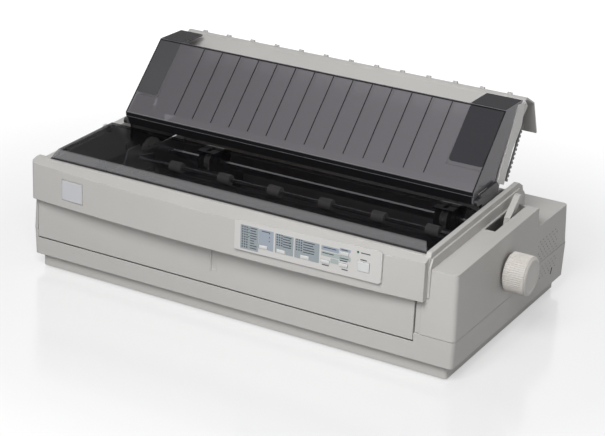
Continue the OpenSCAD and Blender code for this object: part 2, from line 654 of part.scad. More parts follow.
sheet_foot = [sheet_axis_y - 6, sheet_axis_z + 10];
sheet_top = [guide_back + 13, guide_z1 - 6];
function sheet_curve() = bend(sheet_foot, sheet_foot + [22, 52], sheet_top, 12);
function rack_curve() = let (c = sheet_curve()) [for (i = [2:10]) c[i]];
hood_top = [hood_y - 18, hood_z + 45];
module paper_guide() placed() color(case_color) {
    t = sheet_t;
    along_x(guide_x0 + 2, guide_x1 - 2)
        polygon(strip(concat(sheet_curve(), bend(sheet_top + [1.5, 2], sheet_top + [4, 4.5],
            sheet_top + [8, 3.5], 4),
            [hood_top, [hood_y, hood_z]]), -t));
    // Side cheeks with a boss at the pivot
    for (x = [guide_x0, guide_x1 - t]) {
        along_x(x, x + t) polygon(concat(shifted(sheet_curve(), 0.01),
            reversed(shifted(sheet_curve(), -9)),
            [[sheet_axis_y + 6, sheet_axis_z - 2], [sheet_axis_y - 6, sheet_axis_z - 2]]));
        rod_x(x, x + t, sheet_axis_y, sheet_axis_z, 12);
    }
    // Racks behind the sheet, with their teeth
    for (x = [guide_x0 + 7, guide_x1 - 10]) {
        along_x(x, x + 3) polygon(strip(shifted(rack_curve(), -t + 0.2), -3));
        for (p = shifted(rack_curve(), -t - 3.4)) along_x(x - 0.6, x + 3.6)
            translate(p) circle(d = 5, $fn = 8);
    }
    // Nubs along the hood's top edge
    nub_pitch = (guide_x1 - guide_x0 - 53) / 12;
    for (i = [-6:6]) translate([(guide_x0 + guide_x1) / 2 + i * nub_pitch, 0, 0]) along_x(-3, 3)
        translate(sheet_top + [8, 4]) circle(d = 4, $fn = 8);
    // Runner for the edge guides
    on_sheet() translate([guide_x0 + 8, -4, -e]) cube([guide_x1 - guide_x0 - 16, 8, 2.5]);
    rod_x(guide_x0 - 4.6, guide_x0 + e, sheet_axis_y, sheet_axis_z, guide_pin_d);
    rod_x(guide_x1 - e, guide_x1 + 4.6, sheet_axis_y, sheet_axis_z, guide_pin_d);
}
// Places things on the sheet's face: x, s up along it, n out towards the front
module on_sheet() {
    c = sheet_curve();
    d = c[6] - c[4];
    translate([0, c[5][0], c[5][1]]) rotate([atan2(d[1], d[0]), 0, 0]) children();
}
module edge_guide(x, side) on_sheet() {
    w = edge_w;
    translate([x, -14, 2.8]) cube([w, 30, 2.4]);
    translate([x, 4.4, 0.5]) cube([w, 2.2, 2.6]);
    translate([x, -6.6, 0.5]) cube([w, 2.2, 2.6]);
    translate([side < 0 ? x : x + w - 2.2, 0, 0]) rotate([90, 0, 90]) linear_extrude(2.2)
        polygon([[-20, 3], [-14, 13], [26, 13], [32, 5], [30, 2.9]]);
    translate([x + w / 2 - 4, 8, 5]) cube([8, 3, 2.5]);
}
edge_x0 = guide_x0 + 42;
edge_x1 = guide_x1 - 60;
module left_edge_guide() placed() color(case_color) edge_guide(edge_x0, -1);
module right_edge_guide() placed() color(case_color) edge_guide(edge_x1, 1);

module guide_brackets() placed() color(black)
    for (s = [[guide_x0 - 4.8, 1], [guide_x1 + 1.3, -1]]) difference() {
        x = s[0];
        union() {
            along_x(x, x + 3.5) polygon([[147, 124], [147, 136], [158, 140], [158, guide_axis_z - 5],
                [guide_axis_y, guide_axis_z - 4], [guide_axis_y, guide_axis_z + 4], [160,
                    guide_axis_z + 4],
                [sheet_axis_y - 8, sheet_axis_z + 9], [sheet_axis_y + 10, sheet_axis_z + 7],
                [sheet_axis_y + 24, 134], [264, 122], [264, 109], [252, 109], [232, 118], [214, 124]]);
            rod_x(x, x + 3.5, guide_axis_y, guide_axis_z, 8);
            // Spigots to the frame plate
            for (p = [[153, 130], [258, 115]]) if (s[1] > 0) rod_x(x + 3.5 - e, frame_x0, p[0], p[1], 8);
            else rod_x(frame_x1, x + e, p[0], p[1], 8);
        }
        rod_x(x - e, x + 3.5 + e, guide_axis_y, guide_axis_z, guide_pin_d + 2 * fit);
        rod_x(x - e, x + 3.5 + e, sheet_axis_y, sheet_axis_z, guide_pin_d + 2 * fit);
    }

// Control panel

module panel_outline(grow) {
    h = panel_half + grow;
    polygon([[-h, panel_z0 - grow], [h - 3, panel_z0 - grow], [h, panel_z0 + 3],
        [h, panel_top(h) - 3 + grow], [h - 3, panel_top(h) + grow], [-h, panel_z1 + grow]]);
}
// Each small button's place along the panel and its height above the plate's lower edge
buttons = [[-58, 11], [-34, 11], [-2, 11], [25, 12], [49, 13], [50, 28]];
operate_u = 75;
operate_up = 17;
module panel_plate() placed() color([0.86, 0.86, 0.85]) on_panel() difference() {
    union() {
        along_y(-panel_proud, 0.9) panel_outline(0);
        // Posts that hold the board, inside the window
        for (u = [-panel_half + 14, 8, panel_half - 14], z = [panel_z0 + 8, panel_z1 - 10]) rod_y(0.8,
            5.7, u, z, 5);
    }
    for (b = buttons) translate([b[0], 0, panel_z0 + b[1]])
        cube([button_w + 2 * button_gap, 12, button_h + 2 * button_gap], center = true);
    translate([operate_u, 0, panel_z0 + operate_up])
        cube([operate_w + 2 * button_gap, 12, operate_w * 0.8 + 2 * button_gap], center = true);
    // Lamps' holes
    for (i = [0:2], u = [-78, -50, -22]) rod_y(-4, 2, u, panel_z0 + 20 + i * 5, 1.6);
    rod_y(-4, 2, operate_u - 8, panel_z0 + 34, 3);
}
module panel_board() placed() color([0.1, 0.35, 0.2]) on_panel() {
    translate([-panel_half + 9, 5.8, panel_z0 + 6]) cube([2 * panel_half - 18, 1.6,
        panel_z1 - panel_z0 - 14]);
    for (b = buttons) translate([b[0] - 3, 4.4, panel_z0 + b[1] - 2]) cube([6, 1.5, 4]);
    translate([operate_u - 3, 4.4, panel_z0 + operate_up - 3]) cube([6, 1.5, 6]);
}
module button(u, up, w, h) on_panel() {
    translate([u, 0, panel_z0 + up]) {
        hull() {
            translate([-w / 2, -panel_proud - button_proud + 0.5, -h / 2]) cube([w, 3, h]);
            translate([-w / 2 + 0.5, -panel_proud - button_proud, -h / 2 + 0.5]) cube([w - 1, 3, h - 1]);
        }
        translate([-1.5, 0, -1.5]) cube([3, 3.3, 3]);
        // Flange that keeps the button in the plate
        translate([-w / 2 - 1, 1.25, -h / 2 - 0.4]) cube([w + 2, 0.9, h + 0.8]);
    }
}
module small_button(i) button(buttons[i][0], buttons[i][1], button_w, button_h);
module font_button() placed() color("whitesmoke") small_button(0);
module pitch_button() placed() color("whitesmoke") small_button(1);
module tear_button() placed() color("whitesmoke") small_button(2);
module load_button() placed() color("whitesmoke") small_button(3);
module feed_button() placed() color("whitesmoke") small_button(4);
module pause_button() placed() color("whitesmoke") small_button(5);
module operate_button() placed() color("whitesmoke") button(operate_u, operate_up, operate_w,
    operate_w * 0.8);

// Paper release

release_y = 146;
release_z = 58;
release_d = 8;
module release_lever() placed() color([0.84, 0.84, 0.82]) difference() {
    along_x(lever_x0, lever_x1) {
        polygon([[release_y - 3, release_z - 6], [185, 70], [191, 78], [203, 138], [229, 159],
            [227, 163], [221, 163], [195, 141], [183, 80], [release_y - 2, release_z + 6]]);
        translate([release_y, release_z]) circle(7);
    }
    rod_x(lever_x0 - 1, lever_x1 + 1, release_y, release_z, release_d);
}
module release_shaft() placed() color(steel) {
    rod_x(frame_x0 - 0.4, lever_x1 + 1, release_y, release_z, release_d);
    // Cams that press the arms of the pressure rollers down
    for (x = arm_places()) along_x(x - 4, x + 4) {
        translate([release_y, release_z]) circle(6);
        translate([release_y - cam_reach, release_z]) circle(3.5);
        translate([release_y - cam_reach, release_z - 3.4]) square([cam_reach, 6.8]);
    }
}

// Pressure rollers, which hold the paper against the platen until the cams push them away

cam_reach = 7;
arm_y = 190;
arm_z = 66;
press_d = 14;
press_dir = -65;
press_y = platen_y + (platen_d / 2 + press_d / 2 + 0.3) * cos(press_dir);
press_z = platen_z + (platen_d / 2 + press_d / 2 + 0.3) * sin(press_dir);
function arm_places() = [for (i = [0:4]) platen_x0 + 40 + i * (platen_x1 - platen_x0 - 80) / 4];
module pressure_rollers() placed() color(black) {
    for (x = arm_places()) difference() {
        along_x(x - 1, x + 1) {
            polygon([[arm_y, arm_z - 5], [press_y + 4, press_z - 8], [release_y + 12, release_z - 10],
                [release_y - cam_reach - 4, release_z - 9], [release_y - cam_reach - 4, release_z - 3.8],
                [release_y - cam_reach + 2, release_z - 3.8],
                [release_y - cam_reach + 3.5, release_z - 6.6], [release_y + 5, release_z - 6.6],
                [release_y + 9, release_z - 2], [press_y - 4, press_z - 3],
                [press_y - 4, press_z + 1.4], [press_y + 4, press_z + 1.4], [arm_y, arm_z + 5]]);
            translate([arm_y, arm_z]) circle(5);
        }
        rod_x(x - 2, x + 2, arm_y, arm_z, 4 + 2 * fit);
    }
    // Rod through the arms, with a roller on each side of an arm
    rod_x(arm_places()[0] - 18, arm_places()[4] + 18, press_y, press_z, 5);
    for (x = arm_places(), s = [-14, 3]) rod_x(x + s, x + s + 11, press_y, press_z, press_d);
}

// Platen

module platen_roller() placed() color([0.14, 0.14, 0.15]) difference() {
    rod_x(platen_x0, platen_x1, platen_y, platen_z, platen_d);
    rod_x(platen_x0 - 1, platen_x1 + 1, platen_y, platen_z, shaft_d);
}
module platen_shaft() placed() color(steel) difference() {
    rod_x(frame_x0 - 10, case_w + knob_proud - 8, platen_y, platen_z, shaft_d);
    // Flat for the knob
    box(case_w + 2, case_w + knob_proud, platen_y - 10, platen_y + 10, platen_z + shaft_d * 0.38,
        platen_z + 10);
}
module platen_knob() placed() color([0.85, 0.83, 0.8]) {
    r = knob_d / 2;
    x0 = case_w + 1;
    x1 = case_w + knob_proud;
    translate([0, platen_y, platen_z]) difference() {
        union() {
            along_x(x0 + 2, x1 - 2) polygon([for (i = [0:knob_grooves - 1], p = [[0, r], [0.5, r], [0.62,
                r - 0.9], [0.88, r - 0.9]])
                let (a = (i + p[0]) * 360 / knob_grooves) [p[1] * cos(a), p[1] * sin(a)]]);
            rotate([0, 90, 0]) rotate_extrude($fn = 64) polygon([[0, x0], [r - 2.4, x0], [r - 0.9,
                x0 + 2.4], [r - 0.9, x1 - 3.4],
                [r - 2, x1 - 1.2], [r - 4.2, x1], [r - 6, x1], [r - 6.6, x1 - 0.6], [0, x1 - 0.6]]);
        }
        translate([x0 - 1, 0, 0]) intersection() {
            rod_x(0, knob_proud - 8 + 0.2, 0, 0, shaft_d);
            box(0, knob_proud, -10, 10, -10, shaft_d * 0.38);
        }
        // Hollow behind the grip
        translate([x0 - 1, 0, 0]) rotate([0, 90, 0]) difference() {
            cylinder(r = r - 4, h = knob_proud - 9);
            cylinder(r = shaft_d / 2 + 3, h = knob_proud);
        }
    }
}
platen_phase = 0;
tractor_gap = gear_m * (idler_teeth + tractor_teeth) / 2 + gear_play;
idler_gap = gear_m * (platen_teeth + idler_teeth) / 2 + gear_play;
pinion_gap = gear_m * (platen_teeth + pinion_teeth) / 2 + gear_play;
to_tractor = [tractor_y - platen_y, tractor_z - platen_z];
tractor_far = norm(to_tractor);
tractor_dir = atan2(to_tractor[1], to_tractor[0]);
idler_dir = tractor_dir + acos((idler_gap * idler_gap + tractor_far * tractor_far - tractor_gap *
    tractor_gap)
    / (2 * idler_gap * tractor_far));
idler_y = platen_y + idler_gap * cos(idler_dir);
idler_z = platen_z + idler_gap * sin(idler_dir);
pinion_y = platen_y + pinion_gap * cos(motor_dir);
pinion_z = platen_z + pinion_gap * sin(motor_dir);
idler_phase = mate_phase(platen_phase, platen_teeth, idler_teeth, idler_dir);
tractor_phase = mate_phase(idler_phase, idler_teeth, tractor_teeth, atan2(tractor_z - idler_z,
    tractor_y - idler_y));
pinion_phase = mate_phase(platen_phase, platen_teeth, pinion_teeth, motor_dir);
gear_x1 = frame_x0 - 2.5;
gear_x0 = gear_x1 - gear_w;
module platen_gear() placed() color("whitesmoke") difference() {
    gear(platen_teeth, platen_phase, shaft_d, gear_x0, gear_x1, platen_y, platen_z);
    for (a = [0:60:300]) translate([0, platen_y + 15 * cos(a), platen_z + 15 * sin(a)])
        rod_x(gear_x0 - 1, gear_x1 + 1, 0, 0, 8);
}
module tractor_idler() placed() color("whitesmoke") difference() {
    gear(idler_teeth, idler_phase, 6 + 2 * fit, gear_x0, gear_x1, idler_y, idler_z);
    for (a = [0:60:300]) translate([0, idler_y + 14 * cos(a), idler_z + 14 * sin(a)])
        rod_x(gear_x0 - 1, gear_x1 + 1, 0, 0, 8);
}
module feed_pinion() placed() color([0.8, 0.68, 0.4])
    gear(pinion_teeth, pinion_phase, 5 + 2 * fit, gear_x0, gear_x1, pinion_y, pinion_z);
module platen_bushes() placed() color(black)
    for (x = [frame_x0 - 0.8, frame_x1 - steel_t - 0.8]) difference() {
        union() {
            rod_x(x, x + steel_t + 1.6, platen_y, platen_z, shaft_d + 6);
            rod_x(x + steel_t + 0.8, x + steel_t + 2.6, platen_y, platen_z, shaft_d + 7.6);
        }
        rod_x(x - 1, x + steel_t + 4, platen_y, platen_z, shaft_d + 2 * fit);
    }
module paper_pan() placed() color(steel) {
    r = platen_d / 2 + 3;
    difference() {
        translate([platen_x0 + 2, platen_y, platen_z]) rotate([0, 90, 0]) difference() {
            cylinder(r = r + 1.2, h = platen_x1 - platen_x0 - 4);
            translate([0, 0, -1]) cylinder(r = r, h = platen_x1 - platen_x0);
        }
        box(0, case_w, platen_y - 60, platen_y + 60, platen_z - 8, platen_z + 60);
        box(0, case_w, platen_y - 60, platen_y - 15, platen_z - 60, platen_z + 1);
        for (x = arm_places()) box(x - 16, x + 16, platen_y + 2, platen_y + 18, 40, platen_z);
    }
    // Ends folded out to the frame plates
    for (s = [[frame_x0 + steel_t + 0.3, platen_x0 + 2.5], [platen_x1 - 2.5, frame_x1 - steel_t - 0.3]])
        box(s[0], s[1], platen_y - 14, platen_y - 4, platen_z - r + 0.6, platen_z - r + 1.8);
}

// Frames

module frame_outline() difference() {
    polygon([[62, base_z + 1.5], [case_d - 42, base_z + 1.5], [case_d - 42, 62], [268, 88],
        [268, 112], [262, 124], [164, 124], [160, 136], [132, 136], [124, 118], [88, 118],
        [78, 84], [62, 74]]);
    translate([226, 58]) square([52, 30], center = true);
}
module frame_holes(x) {
    rod_x(x, x + 10, platen_y, platen_z, shaft_d + 6);
    rod_x(x, x + 10, rail_y, rail_z, rail_d);
    rod_x(x, x + 10, release_y, release_z, release_d + 2 * fit);
    rod_x(x, x + 10, tractor_y, tractor_z, 8 + 2 * fit);
    rod_x(x, x + 10, rod_y0, rod_z0, 6);
    rod_x(x, x + 10, bail_y, bail_z, 4 + 2 * fit);
}
rod_y0 = 256;
rod_z0 = 92;
bail_y = 186;
bail_z = 112;
module left_frame() placed() color(steel) difference() {
    union() {
        along_x(frame_x0, frame_x0 + steel_t) frame_outline();
        rod_x(frame_x0 - 9, frame_x0 + e, idler_y, idler_z, 6);
    }
    frame_holes(frame_x0 - 1);
    rod_x(frame_x0 - 1, frame_x0 + 5, pinion_y, pinion_z, 14);
}
module right_frame() placed() color(steel) difference() {
    along_x(frame_x1 - steel_t, frame_x1) frame_outline();
    frame_holes(frame_x1 - steel_t - 1);
}
module base_plate() placed() color(steel) difference() {
    union() {
        box(frame_x0, frame_x1, 60, case_d - 38, base_z + 0.2, base_z + 1.4);
        box(frame_x0, frame_x1, 60, 61.2, base_z + 0.2, base_z + 8);
        // Lugs for the arms of the pressure rollers, each with its pin
        for (x = arm_places()) {
            along_x(x + 1.4, x + 3.4) polygon([[arm_y - 9, base_z + 1], [arm_y - 5, arm_z + 5],
                [arm_y + 5, arm_z + 5], [arm_y + 9, base_z + 1]]);
            rod_x(x - 1.6, x + 1.5, arm_y, arm_z, 4);
        }
    }
    box(power_x0 - 4, power_x1 + 4, power_y0 - 6, power_y1 - 8, 0, 60);
    for (p = screw_places()) rod_z(0, 60, p[0], p[1], 3.6);
    // Windows under the pressure rollers, between their lugs
    window_pitch = (frame_x1 - frame_x0 - 196) / 5;
    for (i = [0:4]) box(frame_x0 + 94 + i * window_pitch, frame_x0 + 130 + i * window_pitch, 140, 176,
        0, 60);
}
module case_screws() placed() color(steel)
    for (p = screw_places()) {
        rod_z(plinth_z + 1.5 - 1.2, plinth_z + 1.4, p[0], p[1], 6.4);
        rod_z(plinth_z + 1.3, base_z + 4, p[0], p[1], 3);
        rod_z(base_z + 1.5, base_z + 4.4, p[0], p[1], 6);
    }

// Carriage

module carriage_shaft() placed() color(steel) {
    rod_x(frame_x0 - 0.6, frame_x1 + 2, rail_y, rail_z, rail_d);
    // Thinner end that carries the thickness lever
    rod_x(frame_x0 - 8, frame_x0, rail_y, rail_z, stub_d);
}
module head_rail() placed() color(steel) {
    x0 = frame_x0 + steel_t + 0.3;
    x1 = frame_x1 - steel_t - 0.3;
    difference() {
        along_x(x0, x1) polygon([[66, base_z + 1.5], [84, base_z + 1.5], [84, base_z + 3], [67.5,
            base_z + 3],
            [67.5, 80], [76, 80], [76, 81.5], [66, 81.5]]);
        rod_y(60, 70, pulley_x1, belt_z, 14);
        for (p = screw_places()) rod_z(base_z, base_z + 4, p[0], p[1], 7.4);
    }
    // Stud for the idler pulley
    rod_y(66 + e, belt_y + 6, pulley_x0, belt_z, 5);
}
carriage_x1 = carriage_x + carriage_w;
stub_d = 8;
module carriage() placed() color(black) difference() {
    union() {
        along_x(carriage_x, carriage_x1)
            polygon([[rail_y - 10, rail_z - 11], [rail_y + 12, rail_z - 11], [rail_y + 22, rail_z + 8],
                [rail_y + 24, 78], [rail_y + 20, 86], [rail_y - 33, 86], [rail_y - 33, 81.8],
                [rail_y - 21, 81.8], [rail_y - 18, 74]]);
        // Clamp on the belt
        box(carriage_x + 14, carriage_x1 - 14, belt_y - 5, belt_y + 12, belt_z + pulley_r - 3,
            belt_z + pulley_r + 8);
    }
    rod_x(carriage_x - 1, carriage_x1 + 1, rail_y, rail_z, rail_d + 2 * fit);
    box(carriage_x, carriage_x1, belt_y - 3.4, belt_y + 3.4, belt_z + pulley_r - 0.3,
        belt_z + pulley_r + 1.5);
    box(carriage_x + 9, carriage_x1 - 9, rail_y + 3, rail_y + 60, 79, 120);
}
module print_head() placed() color([0.25, 0.25, 0.27]) {
    x = carriage_x + carriage_w / 2;
    // Finned body and the nose with its pins
    for (i = [0:7]) box(x - 17, x + 17, rail_y - 18 + i * 4.4, rail_y - 15.6 + i * 4.4, 86.2, 112);
    box(x - 15, x + 15, rail_y - 17, rail_y + 15, 86.1, 108);
    box(x - 17, x + 17, rail_y + 3.3, rail_y + 19, 79.3, 90);
    along_y(rail_y + 14, platen_y - platen_d / 2 - 2.4) polygon([[x - 8, 84], [x + 8, 84], [x + 4, 103],
        [x - 4, 103]]);
}
belt_y = 78;
pulley_x0 = frame_x0 + steel_t + 14;
pulley_x1 = frame_x1 - steel_t - 24;
module timing_belt() placed() color(black) {
    translate([0, belt_y + 3, 0]) rotate([90, 0, 0]) linear_extrude(6) difference() {
        union() {
            translate([pulley_x0, belt_z - pulley_r - 1.2]) square([pulley_x1 - pulley_x0,
                2 * pulley_r + 2.4]);
            for (x = [pulley_x0, pulley_x1]) translate([x, belt_z]) circle(pulley_r + 1.2);
        }
        translate([pulley_x0, belt_z - pulley_r]) square([pulley_x1 - pulley_x0, 2 * pulley_r]);
        for (x = [pulley_x0, pulley_x1]) translate([x, belt_z]) circle(pulley_r);
    }
}
module pulley(x, bore) {
    difference() {
        union() {
            translate([x, belt_y + 3.4, belt_z]) rotate([90, 0, 0]) linear_extrude(6.8)
                polygon([for (i = [0:19], p = [[0, -0.3], [0.5, -0.3], [0.6, -1.1], [0.9, -1.1]])
                    let (a = (i + p[0]) * 18) [(pulley_r + p[1]) * cos(a), (pulley_r + p[1]) * sin(a)]]);
            for (y = [belt_y - 5, belt_y + 3.4]) rod_y(y, y + 1.6, x, belt_z, 2 * pulley_r - 1);
        }
        rod_y(belt_y - 10, belt_y + 10, x, belt_z, bore);
    }
}
module motor_pulley() placed() color(steel) pulley(pulley_x1, 5 + 2 * fit);
module idler_pulley() placed() color("whitesmoke") pulley(pulley_x0, 5 + 2 * fit);
module motor_body(d, depth) difference() {
    union() {
        translate([-d / 2, -d / 2, 0]) cube([d, d, 2]);
        translate([-d / 2, -d / 2, depth - 2]) cube([d, d, 2]);
        translate([0, 0, 1]) cylinder(d = d - 1, h = depth - 2);
    }
    for (x = [-1, 1], y = [-1, 1]) translate([x * d * 0.37, y * d * 0.37, -1]) cylinder(d = 3, h = 4);
}
module feed_motor() placed() color(steel) {
    translate([frame_x0 + steel_t + 0.2, pinion_y, pinion_z]) rotate([90, 0, 90]) motor_body(35, 32);
    rod_x(gear_x0 + 1, frame_x0 + steel_t + 1, pinion_y, pinion_z, 5);
}
module carriage_motor() placed() color(steel) {
    translate([pulley_x1, 65.8, belt_z]) rotate([90, 0, 0]) motor_body(42, 36);
    rod_y(60, belt_y + 6, pulley_x1, belt_z, 5);
}

// Ribbon

module ribbon_cartridge() placed() color([0.12, 0.12, 0.13]) {
    x0 = frame_x0 + 9;
    x1 = frame_x1 - 9;
    difference() {
        union() {
            box(x0, x1, 30, 64, 98, 116);
            box(x0, x0 + 30, 60, 112, 98, 114);
            box(x1 - 30, x1, 60, 112, 98, 114);
            // Arms that lead the ribbon to the platen
            for (x = [x0 + 18, x1 - 30]) along_x(x, x + 12) polygon([[110, 98], [110, 114], [126, 108],
                [126, 98]]);
            // Stiffening ribs on the lid
            for (i = [0:12]) box(x0 + 20 + i * (x1 - x0 - 44) / 12, x0 + 23 + i * (x1 - x0 - 44) / 12,
                33, 61, 116 - e, 117.5);
        }
        rod_z(110, 130, x0 + 14, 84, 18);
        box(x0 + 40, x1 - 40, 63.2, 70, 100, 114);
    }
    // The ribbon itself, stretched between the arms
    box(x0 + 24, x1 - 24, platen_y - platen_d / 2 - 3.4 + 1.4, platen_y - platen_d / 2 - 1.6, 98.5, 107);
    for (x = [x0 + 18, x1 - 30]) box(x + 2, x + 10, 124, 128.2, 98.5, 107);
}
module ribbon_knob() placed() color([0.2, 0.2, 0.22]) difference() {
    translate([frame_x0 + 23, 84, 110.3]) linear_extrude(10) polygon([for (i = [0:17], p = [[0, 8],
        [0.5, 8], [0.6, 7.2], [0.9, 7.2]])
        let (a = (i + p[0]) * 20) [p[1] * cos(a), p[1] * sin(a)]]);
    rod_z(117, 130, frame_x0 + 23, 84, 10);
}

// Paper bail

bail_shaft_y = 153.5;
bail_shaft_z = 119.6;
module paper_bail() placed() color(steel) {
    x0 = frame_x0 + steel_t + 3;
    x1 = frame_x1 - steel_t - 3;
    rod_x(x0, x1, bail_shaft_y, bail_shaft_z, 5);
    for (x = [x0, x1 - 2]) {
        along_x(x, x + 2) polygon([[bail_shaft_y - 5, bail_shaft_z - 4], [bail_y, bail_z - 5],
            [bail_y + 5, bail_z],
            [bail_y, bail_z + 5], [bail_shaft_y - 3, bail_shaft_z + 5]]);
    }
    rod_x(frame_x0 - 1, x0 + e, bail_y, bail_z, 4);
    rod_x(x1 - e, frame_x1 + 1, bail_y, bail_z, 4);
}
bail_roller_d = 14.4;
bail_roller_n = 6;
bail_roller_in = 24;
module bail_rollers() placed() color([0.75, 0.75, 0.74])
    for (i = [0:bail_roller_n - 1]) {
        x = platen_x0 + bail_roller_in
            + i * (platen_x1 - platen_x0 - 2 * bail_roller_in) / (bail_roller_n - 1);
        difference() {
            rod_x(x - 9, x + 9, bail_shaft_y, bail_shaft_z, bail_roller_d);
            rod_x(x - 10, x + 10, bail_shaft_y, bail_shaft_z, 5 + 2 * fit);
        }
    }

// Tractors

module tractor_shaft() placed() color(steel) {
    x0 = frame_x0 + steel_t + 6;
    x1 = frame_x1 - steel_t - 6;
    box(x0, x1, tractor_y - 3, tractor_y + 3, tractor_z - 3, tractor_z + 3);
    rod_x(gear_x0, x0 + e, tractor_y, tractor_z, 8);
    rod_x(x1 - e, frame_x1 + 2, tractor_y, tractor_z, 8);
    gear(tractor_teeth, tractor_phase, 1, gear_x0, gear_x1, tractor_y, tractor_z);
}
module tractor_rod() placed() color(steel) rod_x(frame_x0 - 1, frame_x1 + 1, rod_y0, rod_z0, 6);
sprocket_r = 6 * pin_pitch / (2 * PI);
module sprocket(x) difference() {
    union() {
        rod_x(x + 7, x + tractor_w - 7, tractor_y, tractor_z, 2 * sprocket_r - 1.6);
        for (i = [0:5]) translate([x + tractor_w / 2, tractor_y, tractor_z]) rotate([i * 60 + 90, 0, 0])
            translate([0, 0, sprocket_r - 2]) cylinder(d1 = 4, d2 = 2.6, h = 4, $fn = 24);
    }
    box(x, x + tractor_w, tractor_y - 3.2, tractor_y + 3.2, tractor_z - 3.2, tractor_z + 3.2);
}
module tractor(x) difference() {
    union() {
        for (s = [x, x + tractor_w - 5.5]) along_x(s, s + 5.5) polygon([[tractor_y - 15, tractor_z - 9],
            [rod_y0 - 6, rod_z0 - 7],
            [rod_y0 + 8, rod_z0 - 7], [rod_y0 + 9, tractor_z + 6], [tractor_y + 10, tractor_z + 11.6],
            [tractor_y - 10, tractor_z + 11.6], [tractor_y - 15, tractor_z + 6]]);
        box(x, x + tractor_w, rod_y0 - 1, rod_y0 + 9, rod_z0 - 6, tractor_z + 2);
    }
    rod_x(x - 1, x + tractor_w + 1, tractor_y, tractor_z, 10);
    rod_x(x - 1, x + tractor_w + 1, rod_y0, rod_z0, 6 + 2 * fit);
    rod_x(x - 1, x + tractor_w + 1, rod_y0 + 5, tractor_z + 1.4, 3);
}
// A cover swings on its pin at the back of the tractor
module tractor_cover(x) {
    for (s = [x - 2, x + tractor_w]) along_x(s, s + 2)
        polygon([[rod_y0 + 2, tractor_z - 1], [rod_y0 + 8, tractor_z - 1], [rod_y0 + 9, tractor_z + 9],
            [tractor_y + 14, tractor_z + 16], [tractor_y - 12, tractor_z + 16],
            [tractor_y - 12, tractor_z + 13.6], [tractor_y + 8, tractor_z + 13.6]]);
    rod_x(x - 1, x + tractor_w + 1, rod_y0 + 5, tractor_z + 1.4, 3 - 2 * fit);
    difference() {
        box(x - 2, x + tractor_w + 2, tractor_y - 14, tractor_y + 14, tractor_z + 14.4, tractor_z + 16);
        box(x + tractor_w / 2 - 3, x + tractor_w / 2 + 3, tractor_y - 9, tractor_y + 9, tractor_z + 10,
            tractor_z + 20);
    }
}
module left_tractor() placed() color(black) tractor(tractor_x0);
module right_tractor() placed() color(black) tractor(tractor_x1);
module left_sprocket() placed() color("whitesmoke") sprocket(tractor_x0);
module right_sprocket() placed() color("whitesmoke") sprocket(tractor_x1);
module left_tractor_cover() placed() color(black) tractor_cover(tractor_x0);
module right_tractor_cover() placed() color(black) tractor_cover(tractor_x1);

module thickness_lever() placed() color([0.3, 0.5, 0.6]) difference() {
    x = frame_x0 - 7;
    union() {
        along_x(x, x + 4) polygon([[rail_y - 6, rail_z - 6], [rail_y + 6, rail_z - 6], [rail_y + 7,
            rail_z + 6],
            [rail_y - 14, 132], [rail_y - 22, 136], [rail_y - 24, 130], [rail_y - 18, 126], [rail_y - 8,
                rail_z + 4]]);
        rod_x(x, x + 5.8, rail_y, rail_z, 18);
    }
    rod_x(x - 1, x + 9, rail_y, rail_z, stub_d + 2 * fit);
}

// Electronics

module main_board() placed() color([0.1, 0.35, 0.2]) {
    box(main_x0, main_x1, main_y0, main_y1, board_z, board_z + 1.6);
    // Each chip or socket: its place in steps along the board and in mm from its front, then its size
    step = (main_x1 - main_x0) / 29;
    for (p = [[5, 28, 24, 24, 3], [10, 24, 34, 14, 4], [15, 28, 30, 30, 3], [20, 20, 40, 14, 4],
        [7, 4, 30, 12, 8], [25, 38, 16, 30, 10], [3, 78, 40, 10, 9]])
        translate([main_x0 + p[0] * step, main_y0 + p[1], board_z + 1.6 - e])
            cube([p[2], p[3], p[4] + e]);
}
module power_board() placed() color([0.45, 0.32, 0.15]) {
    box(power_x0, power_x1, power_y0, power_y1, board_z, board_z + 1.6);
    z = board_z + 1.6 - e;
    box(power_x0 + 24, power_x0 + 74, power_y0 + 30, power_y0 + 72, z, z + 42);
    box(power_x0 + 32, power_x0 + 66, power_y0 + 26, power_y0 + 76, z + 6, z + 36);
    for (p = [[96, 40, 22, 36], [124, 40, 22, 36], [96, 76, 12, 20], [150, 70, 16, 26]])
        rod_z(z, z + p[3], power_x0 + p[0], power_y0 + p[1], p[2]);
    // Heat sink with its fins
    box(power_x0 + 96, power_x0 + 160, power_y0 + 8, power_y0 + 11, z, z + 34);
    for (i = [0:7]) box(power_x0 + 97 + i * 8.6, power_x0 + 98.6 + i * 8.6, power_y0 + 10.9,
        power_y0 + 20, z, z + 34);
}
module mains_inlet() placed() color(black) {
    difference() {
        box(inlet_x - 13.7, inlet_x + 13.7, case_d - 22, case_d - 0.4, inlet_z - 9.7, inlet_z + 9.7);
        box(inlet_x - 11.4, inlet_x + 11.4, case_d - 17, case_d + 1, inlet_z - 7.4, inlet_z + 7.4);
    }
    for (p = [[-7, -2.4], [0, 2.4], [7, -2.4]]) box(inlet_x + p[0] - 1, inlet_x + p[0] + 1, case_d - 18,
        case_d - 5,
        inlet_z + p[1] - 2, inlet_z + p[1] + 2);
}
module signal_connector() placed() color(steel) {
    difference() {
        box(port_x - 33.7, port_x + 33.7, case_d - 14, case_d - 0.4, port_z - 7.7, port_z + 7.7);
        box(port_x - 27, port_x + 27, case_d - 10, case_d + 1, port_z - 4.6, port_z + 4.6);
    }
    box(port_x - 24, port_x + 24, case_d - 11, case_d - 3, port_z - 1.6, port_z + 1.6);
    // Legs down to the main board
    box(port_x - 26, port_x + 26, case_d - 26, case_d - 13.9, board_z + 1.6, port_z - 4);
}

